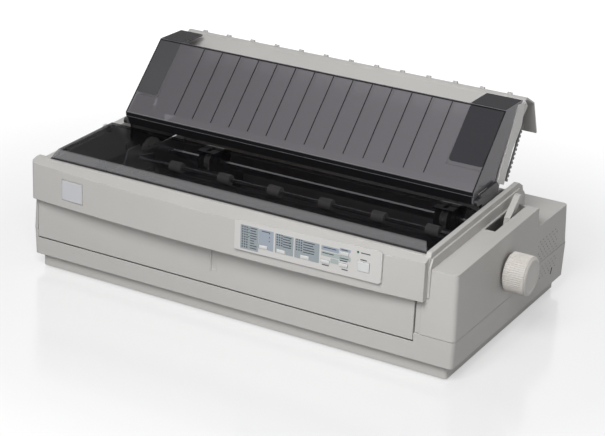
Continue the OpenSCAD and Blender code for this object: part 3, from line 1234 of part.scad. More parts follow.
lower_case();
feet();
upper_case();
front_cover();
printer_cover();
guide_cover();
paper_guide();
left_edge_guide();
right_edge_guide();
panel_plate();
panel_board();
font_button();
pitch_button();
tear_button();
load_button();
feed_button();
pause_button();
operate_button();
release_lever();
release_shaft();
platen_roller();
platen_shaft();
platen_knob();
platen_gear();
platen_bushes();
feed_motor();
feed_pinion();
tractor_idler();
left_frame();
right_frame();
base_plate();
carriage_shaft();
head_rail();
carriage();
print_head();
timing_belt();
carriage_motor();
motor_pulley();
idler_pulley();
ribbon_cartridge();
ribbon_knob();
paper_bail();
bail_rollers();
tractor_shaft();
tractor_rod();
left_tractor();
right_tractor();
left_tractor_cover();
right_tractor_cover();
left_sprocket();
right_sprocket();
thickness_lever();
main_board();
power_board();
mains_inlet();
signal_connector();
guide_brackets();
case_screws();
paper_pan();
pressure_rollers();
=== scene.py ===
import json
import math

import bmesh
import bpy
from mathutils import Matrix, Vector


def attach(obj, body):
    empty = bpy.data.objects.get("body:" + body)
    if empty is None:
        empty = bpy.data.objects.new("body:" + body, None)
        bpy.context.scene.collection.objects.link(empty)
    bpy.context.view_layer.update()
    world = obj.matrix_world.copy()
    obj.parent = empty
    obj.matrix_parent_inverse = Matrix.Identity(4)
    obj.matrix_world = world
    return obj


# The frame is in metres: +X to the knob, +Y to the rear, +Z up. Places are given in millimetres from
# the case's left face, its front face and the floor, and place() turns them into the frame.
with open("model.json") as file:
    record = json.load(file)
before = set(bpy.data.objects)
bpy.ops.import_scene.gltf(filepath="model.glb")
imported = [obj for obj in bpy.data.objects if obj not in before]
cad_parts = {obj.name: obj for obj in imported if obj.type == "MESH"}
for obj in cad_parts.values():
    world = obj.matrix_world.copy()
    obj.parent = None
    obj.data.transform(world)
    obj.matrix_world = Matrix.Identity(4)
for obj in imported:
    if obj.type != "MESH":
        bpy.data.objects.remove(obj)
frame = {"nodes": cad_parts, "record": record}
nodes = frame["nodes"]
slots = {s["node"]: s["material_slot"] for s in frame["record"]["subparts"]}
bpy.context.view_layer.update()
scene = bpy.context.scene
print("frame loaded:", len(nodes), "nodes")

origin = (319.5, 160.3)  # the frame's own middle, in these millimetres


def place(x, y, z):
    return Vector((x - origin[0], y - origin[1], z)) / 1000


def metres(*lengths):
    return [length / 1000 for length in lengths]


# Camera, solved from the photo

camera = {"at": (1346.7, -1714.2, 955.2), "yaw": -28.89, "pitch": 22.03, "roll": 2.50, "focal": 1783.7,
          "wide": 605, "sensor": 36, "reach": 100}


def setCamera(c):
    yaw, pitch, roll = (math.radians(c[k]) for k in ("yaw", "pitch", "roll"))
    forward = Vector((math.sin(yaw) * math.cos(pitch), math.cos(yaw) * math.cos(pitch), -math.sin(pitch)))
    right = forward.cross(Vector((0, 0, 1))).normalized()
    up = right.cross(forward)
    right, up = right * math.cos(roll) + up * math.sin(roll), up * math.cos(roll) - right * math.sin(roll)
    lens = bpy.data.cameras.new("view")
    lens.sensor_width = c["sensor"]
    lens.lens = c["sensor"] * c["focal"] / c["wide"]
    lens.clip_end = c["reach"]
    seen = bpy.data.objects.new("view", lens)
    turn = Matrix((right, up, -forward)).transposed().to_4x4()
    seen.matrix_world = Matrix.Translation(place(*c["at"])) @ turn
    scene.collection.objects.link(seen)
    scene.camera = seen


setCamera(camera)
print("camera set")

# Materials. Each takes its grain from the Object coordinates, and a Bevel node softens its edges.

stock = {"fineDetail": 4.0, "broad": 14.0, "broadDetail": 5.0, "roughSpan": 0.07, "leastRough": 0.02,
         "bump": 0.6, "edgeSamples": 4}


def link(tree, source, out, target, into):
    tree.links.new(source.outputs[out], target.inputs[into])


def add(tree, kind, **inputs):
    made = tree.nodes.new(kind)
    for key, value in inputs.items():
        made.inputs[key.replace("_", " ")].default_value = value
    return made


def spread(tree, source, out, low, high, start=0.3, end=0.7):
    # Turns a value from start..end into low..high
    made = add(tree, "ShaderNodeMapRange", From_Min=start, From_Max=end, To_Min=low, To_Max=high)
    link(tree, source, out, made, "Value")
    return made


def moulded(name, color, rough=0.45, metal=0.0, grain=900.0, depth=0.00006, mottle=0.05, edge=0.0006,
            stretch=(1, 1, 1), gloss=0.5):
    # Moulded or cut stock: a fine grain in its bump and gloss, and a broad mottle in its colour
    mat = bpy.data.materials.new(name)
    mat.use_nodes = True
    tree = mat.node_tree
    body = tree.nodes["Principled BSDF"]
    body.inputs["Metallic"].default_value = metal
    body.inputs["Specular IOR Level"].default_value = gloss
    where = tree.nodes.new("ShaderNodeTexCoord")
    turn = add(tree, "ShaderNodeMapping", Scale=stretch)
    link(tree, where, "Object", turn, "Vector")
    fine = add(tree, "ShaderNodeTexNoise", Scale=grain, Detail=stock["fineDetail"])
    broad = add(tree, "ShaderNodeTexNoise", Scale=stock["broad"], Detail=stock["broadDetail"])
    link(tree, turn, "Vector", fine, "Vector")
    link(tree, turn, "Vector", broad, "Vector")
    shade = spread(tree, broad, "Fac", 1 - mottle, 1 + mottle)
    tint = tree.nodes.new("ShaderNodeVectorMath")
    tint.name = "tint"
    tint.operation = "SCALE"
    tint.inputs[0].default_value = color[:3]
    link(tree, shade, "Result", tint, "Scale")
    link(tree, tint, "Vector", body, "Base Color")
    smooth, dull = max(rough - stock["roughSpan"], stock["leastRough"]), min(rough + stock["roughSpan"], 1.0)
    wear = spread(tree, fine, "Fac", smooth, dull, 0, 1)
    link(tree, wear, "Result", body, "Roughness")
    soft = add(tree, "ShaderNodeBevel", Radius=edge)
    soft.samples = stock["edgeSamples"]
    bump = add(tree, "ShaderNodeBump", Strength=stock["bump"], Distance=depth)
    link(tree, fine, "Fac", bump, "Height")
    link(tree, soft, "Normal", bump, "Normal")
    link(tree, bump, "Normal", body, "Normal")
    return mat


def blendTint(mat, mask, out, color):
    # Lays a second colour over a moulded one where the mask is 1
    tree = mat.node_tree
    mix = tree.nodes.new("ShaderNodeMix")
    mix.data_type = "RGBA"
    link(tree, mask, out, mix, "Factor")
    tree.links.new(tree.nodes["tint"].outputs["Vector"], mix.inputs[6])
    mix.inputs[7].default_value = (*color, 1)
    tree.links.new(mix.outputs[2], tree.nodes["Principled BSDF"].inputs["Base Color"])


def towards(tree, direction, start, end):
    # 1 on faces that look towards a direction, in the object's own coordinates
    where = tree.nodes.new("ShaderNodeTexCoord")
    dot = tree.nodes.new("ShaderNodeVectorMath")
    dot.operation = "DOT_PRODUCT"
    dot.inputs[1].default_value = direction
    link(tree, where, "Normal", dot, 0)
    return spread(tree, dot, "Value", 0, 1, start, end)


def along(tree, axis, start, end):
    # 0 before a place and 1 beyond another along one of the object's own axes
    where = tree.nodes.new("ShaderNodeTexCoord")
    parts = tree.nodes.new("ShaderNodeSeparateXYZ")
    link(tree, where, "Object", parts, "Vector")
    return spread(tree, parts, axis, 0, 1, start, end)


def above(tree, mask, low, full):
    # Keeps a mask only above a height
    height = along(tree, "Z", low, full)
    both = tree.nodes.new("ShaderNodeMath")
    both.operation = "MULTIPLY"
    link(tree, mask, "Result", both, 0)
    link(tree, height, "Result", both, 1)
    return both


def smoked(name, color, see, veil, gloss):
    # A polished smoked sheet: its own dark gloss over what is behind it, more so towards a grazing view
    mat = moulded(name, color, rough=0.09, grain=300.0, depth=0.00001, mottle=0.04, edge=0.0008, gloss=gloss)
    tree = mat.node_tree
    clear = add(tree, "ShaderNodeBsdfTransparent", Color=(*see, 1))
    mix = tree.nodes.new("ShaderNodeMixShader")
    facing = add(tree, "ShaderNodeLayerWeight", Blend=0.35)
    span = spread(tree, facing, "Facing", *veil, 0, 1)
    link(tree, span, "Result", mix, "Fac")
    link(tree, clear, "BSDF", mix, 1)
    tree.links.new(tree.nodes["Principled BSDF"].outputs["BSDF"], mix.inputs[2])
    link(tree, mix, "Shader", tree.nodes["Material Output"], "Surface")
    return mat


def circuit(name, color, track, cells):
    # A lacquered board with lighter tracks under the lacquer
    mat = moulded(name, color, rough=0.3, grain=260.0, mottle=0.18, edge=0.0002)
    tree = mat.node_tree
    where = tree.nodes.new("ShaderNodeTexCoord")
    tracks = add(tree, "ShaderNodeTexBrick", Scale=cells, Mortar_Size=0.09, Color1=(0, 0, 0, 1),
                 Color2=(0, 0, 0, 1), Mortar=(1, 1, 1, 1))
    link(tree, where, "Object", tracks, "Vector")
    blendTint(mat, tracks, "Color", track)
    return mat


looks = {
    "case": moulded("case", (0.605, 0.592, 0.57), rough=0.5, grain=1600.0, depth=0.00008, mottle=0.02,
                    edge=0.0012),
    "guide": moulded("guide", (0.59, 0.58, 0.56), rough=0.36, grain=1600.0, mottle=0.02, edge=0.0008),
    "knob": moulded("knob", (0.73, 0.70, 0.665), rough=0.42, grain=1200.0, mottle=0.03),
    "smoked_cover": smoked("smoked_cover", (0.005, 0.005, 0.006), (0.72, 0.715, 0.73), (0.14, 0.6), 0.02),
    "smoked_guide": smoked("smoked_guide", (0.18, 0.172, 0.186), (0.75, 0.72, 0.77), (0.6, 0.92), 0.22),
    "panel": moulded("panel", (0.70, 0.69, 0.67), rough=0.35, grain=2000.0, mottle=0.01, edge=0.0004),
    "button": moulded("button", (0.74, 0.75, 0.75), rough=0.35, grain=2000.0, mottle=0.01, edge=0.0004),
    "circuit": circuit("circuit", (0.02, 0.12, 0.06), (0.04, 0.22, 0.10), 105.0),
    "power": circuit("power", (0.24, 0.15, 0.06), (0.34, 0.22, 0.09), 65.0),
    "steel": moulded("steel", (0.46, 0.47, 0.48), rough=0.38, metal=1.0, grain=500.0, mottle=0.08,
                     stretch=(1, 8, 8)),
    "rod": moulded("rod", (0.44, 0.44, 0.45), rough=0.26, metal=1.0, mottle=0.03, stretch=(0.3, 6, 6)),
    "motor": moulded("motor", (0.10, 0.10, 0.105), rough=0.42, metal=0.7, grain=700.0, mottle=0.1),
    "rubber": moulded("rubber", (0.018, 0.018, 0.02), rough=0.7, grain=800.0, depth=0.0001, mottle=0.1),
    "black": moulded("black", (0.02, 0.02, 0.022), grain=1200.0, mottle=0.08),
    "head": moulded("head", (0.035, 0.035, 0.038), rough=0.5, metal=0.5, mottle=0.1),
    "nylon": moulded("nylon", (0.74, 0.72, 0.66), mottle=0.03, edge=0.0003),
    "brass": moulded("brass", (0.55, 0.38, 0.13), rough=0.3, metal=1.0, grain=700.0, mottle=0.08,
                     edge=0.0002),
    "blue_lever": moulded("blue_lever", (0.06, 0.15, 0.26), grain=1200.0, mottle=0.03),
}

# Painted highlight: a pale tone laid on the printer cover's front bevel where it faces the light, and
# painted light that makes the guide cover paler towards the knob
bevelHighlight = {"toward": (0, -0.785, 0.62), "from": 0.88, "to": 0.97, "low": 0.1552, "full": 0.1556,
         "tone": (0.66, 0.66, 0.67)}
pale = {"from": -0.26, "to": 0.24, "tone": (0.245, 0.235, 0.252)}


def paintCoverLight(b, p):
    cover, guide = looks["smoked_cover"], looks["smoked_guide"]
    # Painted highlight on the printer cover's bevel, and painted light over the guide cover towards the knob
    faces = towards(cover.node_tree, b["toward"], b["from"], b["to"])
    blendTint(cover, above(cover.node_tree, faces, b["low"], b["full"]), "Value", b["tone"])
    blendTint(guide, along(guide.node_tree, "X", p["from"], p["to"]), "Result", p["tone"])


paintCoverLight(bevelHighlight, pale)
for name, node in nodes.items():
    for i in range(len(node.data.materials)):
        node.data.materials[i] = looks[slots[name]]

# Finishes of the pieces that are added here
inks = {
    "zone": moulded("zoneFilm", (0.34, 0.385, 0.41), rough=0.4, grain=1500.0, mottle=0.02, edge=0.0001),
    "pale": moulded("paleFilm", (0.37, 0.42, 0.49), rough=0.4, grain=1500.0, mottle=0.02, edge=0.0001),
    "green": moulded("greenFilm", (0.44, 0.50, 0.49), rough=0.4, grain=1500.0, mottle=0.02, edge=0.0001),
    "mark": moulded("markInk", (0.045, 0.055, 0.07), rough=0.5, grain=1500.0, mottle=0.05, edge=0.0001),
    "lamp": moulded("lampLens", (0.05, 0.16, 0.10), rough=0.2, grain=600.0, mottle=0.05, edge=0.0001),
    "badge": moulded("badgeFilm", (0.66, 0.665, 0.70), rough=0.3, mottle=0.015, edge=0.0003),
    "cheek": moulded("cheekPlastic", (0.86, 0.85, 0.83), grain=1500.0, mottle=0.02, edge=0.0004),
    "line": moulded("ribLine", (0.018, 0.018, 0.02), rough=0.35, mottle=0.04, edge=0.0001, gloss=0.1),
    "cap": moulded("capLining", (0.022, 0.022, 0.025), edge=0.0002, gloss=0.06),
    "tick": moulded("tickInk", (0.80, 0.80, 0.78), mottle=0.03, edge=0.0001),
    "shade": moulded("ventShade", (0.012, 0.012, 0.012), rough=0.7, edge=0.0001, gloss=0.1),
    "glint": moulded("hingeGlint", (0.20, 0.20, 0.21), rough=0.25, mottle=0.04, edge=0.0001),
    "softLining": moulded("softLining", (0.075, 0.074, 0.08), rough=0.25, gloss=0.2, edge=0.0003),
    "rack": moulded("rackPlastic", (0.16, 0.16, 0.16), rough=0.5, edge=0.0002),
    "lining": moulded("lining", (0.040, 0.040, 0.046), rough=0.25, gloss=0.15, edge=0.0003),
}
print("materials on:", len(looks) + len(inks))

# Pieces


def fit(name, mesh, finish, body):
    # A finished piece: its place is in its mesh, and it rides a body
    mesh.materials.clear()
    mesh.materials.append(finish)
    piece = bpy.data.objects.new(name, mesh)
    scene.collection.objects.link(piece)
    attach(piece, body)


def slab(outline, back, front, turn):
    # A thin sheet: an outline in x and z, from one depth to another, turned into place
    mesh = bpy.data.meshes.new("slab")
    work = bmesh.new()
    face = work.faces.new([work.verts.new(Vector((x, back, z)) / 1000) for x, z in outline])
    raised = bmesh.ops.extrude_face_region(work, geom=[face])["geom"]
    bmesh.ops.translate(work, verts=[v for v in raised if isinstance(v, bmesh.types.BMVert)],
                        vec=Vector((0, front - back, 0)) / 1000)
    bmesh.ops.recalc_face_normals(work, faces=work.faces)
    work.to_mesh(mesh)
    work.free()
    mesh.transform(turn)
    return mesh


cornerCuts = 3


def rounded(x0, z0, x1, z1, r, notch=None):
    # A rectangle with round corners; notch is a gap in its lower edge, as x from, x to and its top
    corners = ((x1 - r, z1 - r, 0), (x0 + r, z1 - r, 90), (x0 + r, z0 + r, 180), (x1 - r, z0 + r, 270))
    points = []
    for i, (cx, cz, start) in enumerate(corners):
        for step in range(cornerCuts + 1):
            angle = math.radians(start + 90 * step / cornerCuts)
            points.append((cx + r * math.cos(angle), cz + r * math.sin(angle)))
        if notch and i == 2:
            points += [(notch[0], z0), (notch[0], notch[2]), (notch[1], notch[2]), (notch[1], z0)]
    return points


lensShape = {"Segments": 12, "Rings": 8, "Radius": 0.5}


def rowsTree(name, shape):
    # Rows and columns of one small form, each of full length or, by chance, down to the share named Shortest
    tree = bpy.data.node_groups.new(name, "GeometryNodeTree")
    tree.interface.new_socket("Geometry", in_out="OUTPUT", socket_type="NodeSocketGeometry")
    for label, kind in (("Columns", "Int"), ("Rows", "Int"), ("Across", "Vector"), ("Down", "Vector"),
                        ("Size", "Vector"), ("Shortest", "Float"), ("Seed", "Int"), ("Finish", "Material")):
        tree.interface.new_socket(label, in_out="INPUT", socket_type="NodeSocket" + kind)
    given = tree.nodes.new("NodeGroupInput")
    top = tree.nodes.new("GeometryNodeMeshLine")
    side = tree.nodes.new("GeometryNodeMeshLine")
    grid = tree.nodes.new("GeometryNodeInstanceOnPoints")
    points = tree.nodes.new("GeometryNodeRealizeInstances")
    link(tree, given, "Columns", top, "Count")
    link(tree, given, "Across", top, "Offset")
    link(tree, given, "Rows", side, "Count")
    link(tree, given, "Down", side, "Offset")
    link(tree, top, "Mesh", grid, "Points")
    link(tree, side, "Mesh", grid, "Instance")
    link(tree, grid, "Instances", points, "Geometry")
    form = tree.nodes.new("GeometryNodeMeshCube" if shape == "block" else "GeometryNodeMeshUVSphere")
    shift = tree.nodes.new("GeometryNodeTransform")
    link(tree, form, "Mesh", shift, "Geometry")
    if shape == "block":
        half = tree.nodes.new("ShaderNodeVectorMath")
        half.operation = "MULTIPLY"
        half.inputs[1].default_value = (0.5, 0, 0)
        link(tree, given, "Size", form, "Size")
        link(tree, given, "Size", half, 0)
        link(tree, half, "Vector", shift, "Translation")
    else:
        for key, value in lensShape.items():
            form.inputs[key].default_value = value
        link(tree, given, "Size", shift, "Scale")
    chance = tree.nodes.new("FunctionNodeRandomValue")
    chance.data_type = "FLOAT"
    link(tree, given, "Shortest", chance, "Min")
    chance.inputs["Max"].default_value = 1
    link(tree, given, "Seed", chance, "Seed")
    stretch = add(tree, "ShaderNodeCombineXYZ", Y=1, Z=1)
    tree.links.new([s for s in chance.outputs if s.enabled][0], stretch.inputs["X"])
    made = tree.nodes.new("GeometryNodeInstanceOnPoints")
    link(tree, points, "Geometry", made, "Points")
    link(tree, shift, "Geometry", made, "Instance")
    link(tree, stretch, "Vector", made, "Scale")
    whole = tree.nodes.new("GeometryNodeRealizeInstances")
    paint = tree.nodes.new("GeometryNodeSetMaterial")
    out = tree.nodes.new("NodeGroupOutput")
    link(tree, made, "Instances", whole, "Geometry")
    link(tree, whole, "Geometry", paint, "Geometry")
    link(tree, given, "Finish", paint, "Material")
    link(tree, paint, "Geometry", out, "Geometry")
    return tree


blocks = rowsTree("rowsOfBlocks", "block")
lenses = rowsTree("rowsOfLenses", "lens")


def rows(name, tree, values, turn, finish, body):
    # Runs a rows tree on an empty mesh and keeps what it makes as a plain piece
    host = bpy.data.objects.new(name + "Host", bpy.data.meshes.new("host"))
    scene.collection.objects.link(host)
    modifier = host.modifiers.new("rows", "NODES")
    modifier.node_group = tree
    single = {"Columns": 1, "Rows": 1, "Across": (0.01, 0, 0), "Down": (0, 0, -0.01)}
    for label, value in {**single, "Shortest": 1.0, "Seed": 3, "Finish": finish, **values}.items():
        modifier[tree.interface.items_tree[label].identifier] = value
    mesh = bpy.data.meshes.new_from_object(host.evaluated_get(bpy.context.evaluated_depsgraph_get()))
    host.modifiers.clear()
    bpy.data.objects.remove(host)
    mesh.transform(turn)
    fit(name, mesh, finish, body)


# Control panel: films with generic marks, lamps and bare fields round the buttons. Across, places are
# from the plate's middle. A zone is a rectangle, its notch and its ink. A block of marks is its place,
# its columns and rows, the step between rows, and its longest mark.

panel = {"middle": 418, "front": -15.80, "yaw": 1.902, "face": -2.2, "film": 0.22, "sunk": 0.1, "round": 1.0,
         "zones": {"First": (-89.5, 114.4, -65.0, 145.2, None, "zone"),
                   "FirstSide": (-64.6, 119.6, -44.5, 144.8, (-64.2, -51.8, 125.2), "pale"),
                   "Second": (-42.2, 119.6, -17.6, 144.2, (-40.2, -27.8, 125.2), "zone"),
                   "Third": (-15.9, 119.6, 16.8, 143.8, (-8.2, 4.2, 125.2), "zone"),
                   "FourthTop": (19.4, 137.6, 42.6, 143.6, None, "pale"),
                   "FourthSide": (43.2, 142.2, 57.8, 145.4, None, "pale"),
                   "FourthMiddle": (19.4, 130.6, 57.8, 136.4, None, "green"),
                   "FourthLow": (32.0, 123.6, 42.4, 129.6, None, "green")},
         "marks": {"First": (-76.2, 143.0, 1, 9, 3.2, 9.5), "Side": (-60.5, 142.6, 1, 1, 3.0, 12.0),
                   "Second": (-31.6, 142.0, 1, 5, 3.2, 12.0), "Third": (-4.5, 141.6, 1, 5, 3.2, 16.0),
                   "Fourth": (22.0, 141.4, 1, 1, 3.0, 18.0), "Pause": (45.4, 143.9, 1, 1, 3.0, 9.0),
                   "Middle": (21.0, 134.4, 1, 1, 3.0, 16.0), "Feed": (44.0, 132.9, 1, 2, 3.0, 12.0),
                   "Lower": (21.0, 119.2, 2, 1, 3.0, 9.5), "Operate": (70.5, 137.0, 1, 1, 3.0, 9.0),
                   "PaperOut": (70.8, 145.5, 1, 1, 3.0, 13.0)},
         "mark": {"pitch": 26, "thick": 0.12, "tall": 1.1, "shortest": 0.45},
         "dots": {"First": (-87.5, 9), "Second": (-40.2, 5), "Third": (-13.9, 5)},
         "dot": {"top": 143, "columns": 3, "across": 3.1, "down": 3.2, "size": (1.7, 0.12, 1.7)},
         "lamps": {"at": (-78, 141.5), "count": 3, "across": 28, "down": 5, "size": (1.5, 1.4, 1.5)},
         "paperLamp": {"at": (67, 145.5), "size": (2.8, 2.2, 2.8)}}


def makePanel(p):
    plate = Matrix.Translation(place(p["middle"], p["front"], 0)) @ Matrix.Rotation(
        math.radians(p["yaw"]), 4, "Z")
    front = p["face"] - p["film"]
    for name, (x0, z0, x1, z1, notch, ink) in p["zones"].items():
        sheet = slab(rounded(x0, z0, x1, z1, p["round"], notch), p["face"] + p["sunk"], front, plate)
        fit("film" + name, sheet, inks[ink], "case")

    def on(x, y, z):
        return plate @ Matrix.Translation(Vector((x, y, z)) / 1000)

    mark, dot, lamps, lamp = p["mark"], p["dot"], p["lamps"], p["paperLamp"]
    for name, (x, z, columns, count, step, wide) in p["marks"].items():
        rows("marks" + name, blocks, {"Columns": columns, "Rows": count,
                                      "Across": metres(mark["pitch"], 0, 0), "Down": metres(0, 0, -step),
                                      "Size": metres(wide, mark["thick"], mark["tall"]),
                                      "Shortest": mark["shortest"]},
             on(x, front, z), inks["mark"], "case")
    for name, (x, count) in p["dots"].items():
        rows("dots" + name, blocks, {"Columns": dot["columns"], "Rows": count,
                                     "Across": metres(dot["across"], 0, 0),
                                     "Down": metres(0, 0, -dot["down"]), "Size": metres(*dot["size"])},
             on(x, front, dot["top"]), inks["mark"], "case")
    rows("lamps", lenses, {"Columns": lamps["count"], "Rows": lamps["count"],
                           "Across": metres(lamps["across"], 0, 0), "Down": metres(0, 0, -lamps["down"]),
                           "Size": metres(*lamps["size"])},
         on(lamps["at"][0], front, lamps["at"][1]), inks["lamp"], "case")
    rows("paperLamp", lenses, {"Size": metres(*lamp["size"])}, on(lamp["at"][0], p["face"], lamp["at"][1]),
         inks["lamp"], "case")


makePanel(panel)
print("panel dressed")

# Badge: a bare film on the pad at the band's left

badge = {"at": (72.5, -12.34, 124.5), "yaw": -3.05, "size": (31.6, 25.6), "round": 0.8,
         "depth": (-0.5, -0.85)}


def makeBadge(b):
    turn = Matrix.Translation(place(*b["at"])) @ Matrix.Rotation(math.radians(b["yaw"]), 4, "Z")
    w, h = b["size"][0] / 2, b["size"][1] / 2
    sheet = slab(rounded(-w, -h, w, h, b["round"]), *b["depth"], turn)
    fit("badgeFace", sheet, inks["badge"], "case")


makeBadge(badge)

# Guide cover: dark linings and caps at its two upper corners, its ribs seen from the front as dark lines of
# painted shade, its edges, and painted highlights along its hem and crease.
# A side or a line goes from one x to another and from one share of the slope to another. A fold goes
# from one y and z to another.

lining = {"foot": (140, 186), "head": (221.5, 268.5), "depth": (0.3, -0.25), "round": 4,
          "sides": {"left": (49, 81.5, 0.28, 0.99, "softLining"),
                    "right": (509.5, 556.4, 0.30, 0.99, "lining")},
          "cap": (222.5, 270.5), "capHeight": (268.3, 268.8), "capRound": 2,
          "caps": {"left": (49, 82.5), "right": (509, 556)},
          "ribs": {"first": 119.85, "pitch": 28.1, "count": 14, "wide": 1.3, "thick": 0.5, "from": 0.10,
                   "to": 0.975},
          # The glint lines, the hem and the crease, are painted highlights
          "lines": {"edge": (48.2, 556.8, 0.977, 0.992, "line"), "hem": (50, 555, 0.004, 0.011, "glint"),
                    "leftBorder": (48.2, 49.8, 0.0, 0.992, "line"),
                    "rightBorder": (555.2, 556.8, 0.0, 0.992, "line")},
          "folds": {"lip": ((147, 167.8), (141.1, 180.2), "line"),
                    "crease": ((141.1, 180.2), (141, 180.9), "glint"),
                    "foot": ((141, 180.9), (140.05, 185.8), "line")},
          "foldDepth": (0.3, -0.45), "foldWide": (48.6, 556.4)}


def makeLinings(c):
    foot, head = (Vector((0, *c[k])) for k in ("foot", "head"))
    slope = math.atan2(head.z - foot.z, head.y - foot.y)
    length = (head - foot).length
    turn = Matrix.Translation(place(0, *c["foot"])) @ Matrix.Rotation(slope - math.pi / 2, 4, "X")
    flat = Matrix.Translation(place(0, 0, 0)) @ Matrix.Rotation(-math.pi / 2, 4, "X")
    under, top = c["capHeight"]
    for side, (x0, x1, start, end, ink) in c["sides"].items():
        corner = rounded(x0, length * start, x1, length * end, c["round"])
        fit(side + "Lining", slab(corner, *c["depth"], turn), inks[ink], "guide_cover")
        x0, x1 = c["caps"][side]
        cap = rounded(x0, c["cap"][0], x1, c["cap"][1], c["capRound"])
        fit(side + "CapLining", slab(cap, -under, -top, flat), inks["cap"], "guide_cover")
    for name, (x0, x1, start, end, ink) in c["lines"].items():
        outline = ((x0, length * start), (x1, length * start), (x1, length * end), (x0, length * end))
        fit(name + "Line", slab(outline, *c["depth"], turn), inks[ink], "guide_cover")
    x0, x1 = c["foldWide"]
    for name, (low, high, ink) in c["folds"].items():
        run = Vector(high) - Vector(low)
        stand = Matrix.Translation(place(0, *low)) @ Matrix.Rotation(math.atan2(-run.x, run.y), 4, "X")
        outline = ((x0, 0), (x1, 0), (x1, run.length), (x0, run.length))
        fit(name + "Fold", slab(outline, *c["foldDepth"], stand), inks[ink], "guide_cover")
    # Painted shade: a dark strip along each rib, where its edge shows through the sheet
    r = c["ribs"]
    middle = Vector((r["first"] - r["wide"] / 2, 0, length * (r["from"] + r["to"]) / 2)) / 1000
    rows("ribShadeLines", blocks, {"Columns": r["count"], "Across": metres(r["pitch"], 0, 0),
                              "Size": metres(r["wide"], r["thick"], length * (r["to"] - r["from"]))},
         turn @ Matrix.Translation(middle), inks["line"], "guide_cover")


makeLinings(lining)
print("linings in")

# Paper guide: a deeper light cheek at each end, its outline in y and z, with a dark toothed rack behind it

cheek = {"front": ((212, 177.3), (221, 196), (232.2, 215.3), (246, 243), (257.5, 266.5)),
         "rear": ((279.5, 263), (277.5, 249), (275, 233.4), (264, 221), (252.6, 209.7), (242, 188),
                  (233, 167.5)),
         "sides": {"left": (47.8, 50.6), "right": (554.4, 557.2)}, "rack": ((277.2, 230), (241, 170)),
         "teeth": 13, "tooth": (2.4, 3.6, 3.0), "toothIn": 0.2, "toothBehind": 3.0, "strip": 1.6,
         "stripIn": 0.4}


def sideSlab(outline, x0, x1):
    # A sheet that stands across the printer: an outline in y and z, from one x to another
    turn = Matrix.Translation(place(0, 0, 0)) @ Matrix.Rotation(math.pi / 2, 4, "Z")
    return slab(outline, -x0, -x1, turn)


def makeCheeks(c):
    top, foot = (Vector((0, *p)) for p in c["rack"])
    step = (foot - top) / (c["teeth"] - 1)
    lean = math.atan2(step.y, -step.z)
    for side, (x0, x1) in c["sides"].items():
        fit(side + "Cheek", sideSlab(c["front"] + c["rear"], x0, x1), inks["cheek"], "paper_guide")
        across = Vector((0, math.cos(lean), math.sin(lean))) * c["strip"]
        band = [(p.y, p.z) for p in (top - across, foot - across, foot + across, top + across)]
        strip = sideSlab(band, x0 + c["stripIn"], x1 - c["stripIn"])
        fit(side + "RackStrip", strip, inks["rack"], "paper_guide")
        at = Matrix.Translation(place(x0 + c["toothIn"], top.y + c["toothBehind"], top.z))
        rows(side + "Rack", blocks, {"Rows": c["teeth"], "Down": metres(0, 0, -step.length),
                                     "Size": metres(*c["tooth"])},
             at @ Matrix.Rotation(lean, 4, "X"), inks["rack"], "paper_guide")


makeCheeks(cheek)

# Dark skirts that close the brackets' tops beside the guide cover's hinges

skirt = {"outline": ((151, 167), (204, 167), (208, 175), (201, 182.5), (155, 180.5)),
         "sides": {"left": (43.6, 46.4), "right": (558.6, 561.4)}}
for side, (x0, x1) in skirt["sides"].items():
    fit(side + "Skirt", sideSlab(skirt["outline"], x0, x1), looks["black"], "case")

# Painted shade: dark discs inside the side vents, which stop the light a little below the sloping walls, and
# a dark sheet in the slot behind them

vents = {"case": 608, "banks": {"A": (246, 7), "B": (251, 6)}, "step": 10, "size": (2.0, 1.4, 2.0),
         "sunk": 0.74,
         "upper": {"tops": (91, 96), "rows": 3, "from": 54.5, "draft": 2.2},
         "lower": {"tops": (54, 59), "rows": 2, "from": 66.5, "draft": -1.2},
         "slot": {"at": (296, 40), "size": (3.3, 8.9), "turn": -20, "x": (603.5, 607.3)}}


def makeVents(v):
    for side in ("upper", "lower"):
        bank = v[side]
        slope = math.tan(math.radians(bank["draft"]))
        for (letter, (y, columns)), top in zip(v["banks"].items(), bank["tops"]):
            x = v["case"] - (top - bank["from"]) * slope - v["sunk"]
            at = Matrix.Translation(place(x, y, top)) @ Matrix.Rotation(math.pi / 2, 4, "Z")
            rows(side + "Vent" + letter, lenses, {"Columns": columns, "Rows": bank["rows"],
                                                  "Across": metres(v["step"], 0, 0),
                                                  "Down": metres(0, -v["step"] * slope, -v["step"]),
                                                  "Size": metres(*v["size"])},
                 at, inks["shade"], "case")
    slot = v["slot"]
    turn = Matrix.Rotation(math.radians(slot["turn"]), 2)
    wide, tall = slot["size"]
    corners = [turn @ Vector((a * wide / 2, b * tall / 2)) for a, b in ((-1, -1), (1, -1), (1, 1), (-1, 1))]
    outline = [(slot["at"][0] + p.x, slot["at"][1] + p.y) for p in corners]
    fit("slotShade", sideSlab(outline, *slot["x"]), inks["shade"], "case")


makeVents(vents)
print("cheeks, skirts and vents in")

# Scale along the paper bail: a dark strip between each two rollers, with pale ticks

bailScale = {"start": (133, 150.6, 119.8), "pitch": 76, "count": 5, "strip": (54, 1.0, 3.8),
             "ticks": (134.2, 150.1, 120.1), "tickPitch": 2.54, "tickCount": 21, "tick": (0.6, 0.3, 2.2)}


def makeBailScale(b):
    rows("bailStrips", blocks, {"Columns": b["count"], "Across": metres(b["pitch"], 0, 0),
                                "Size": metres(*b["strip"])},
         Matrix.Translation(place(*b["start"])), looks["black"], "paper_bail")
    rows("bailTicks", blocks, {"Columns": b["tickCount"], "Rows": b["count"],
                               "Across": metres(b["tickPitch"], 0, 0), "Down": metres(b["pitch"], 0, 0),
                               "Size": metres(*b["tick"])},
         Matrix.Translation(place(*b["ticks"])), inks["tick"], "paper_bail")


makeBailScale(bailScale)
print("bail scale marked")
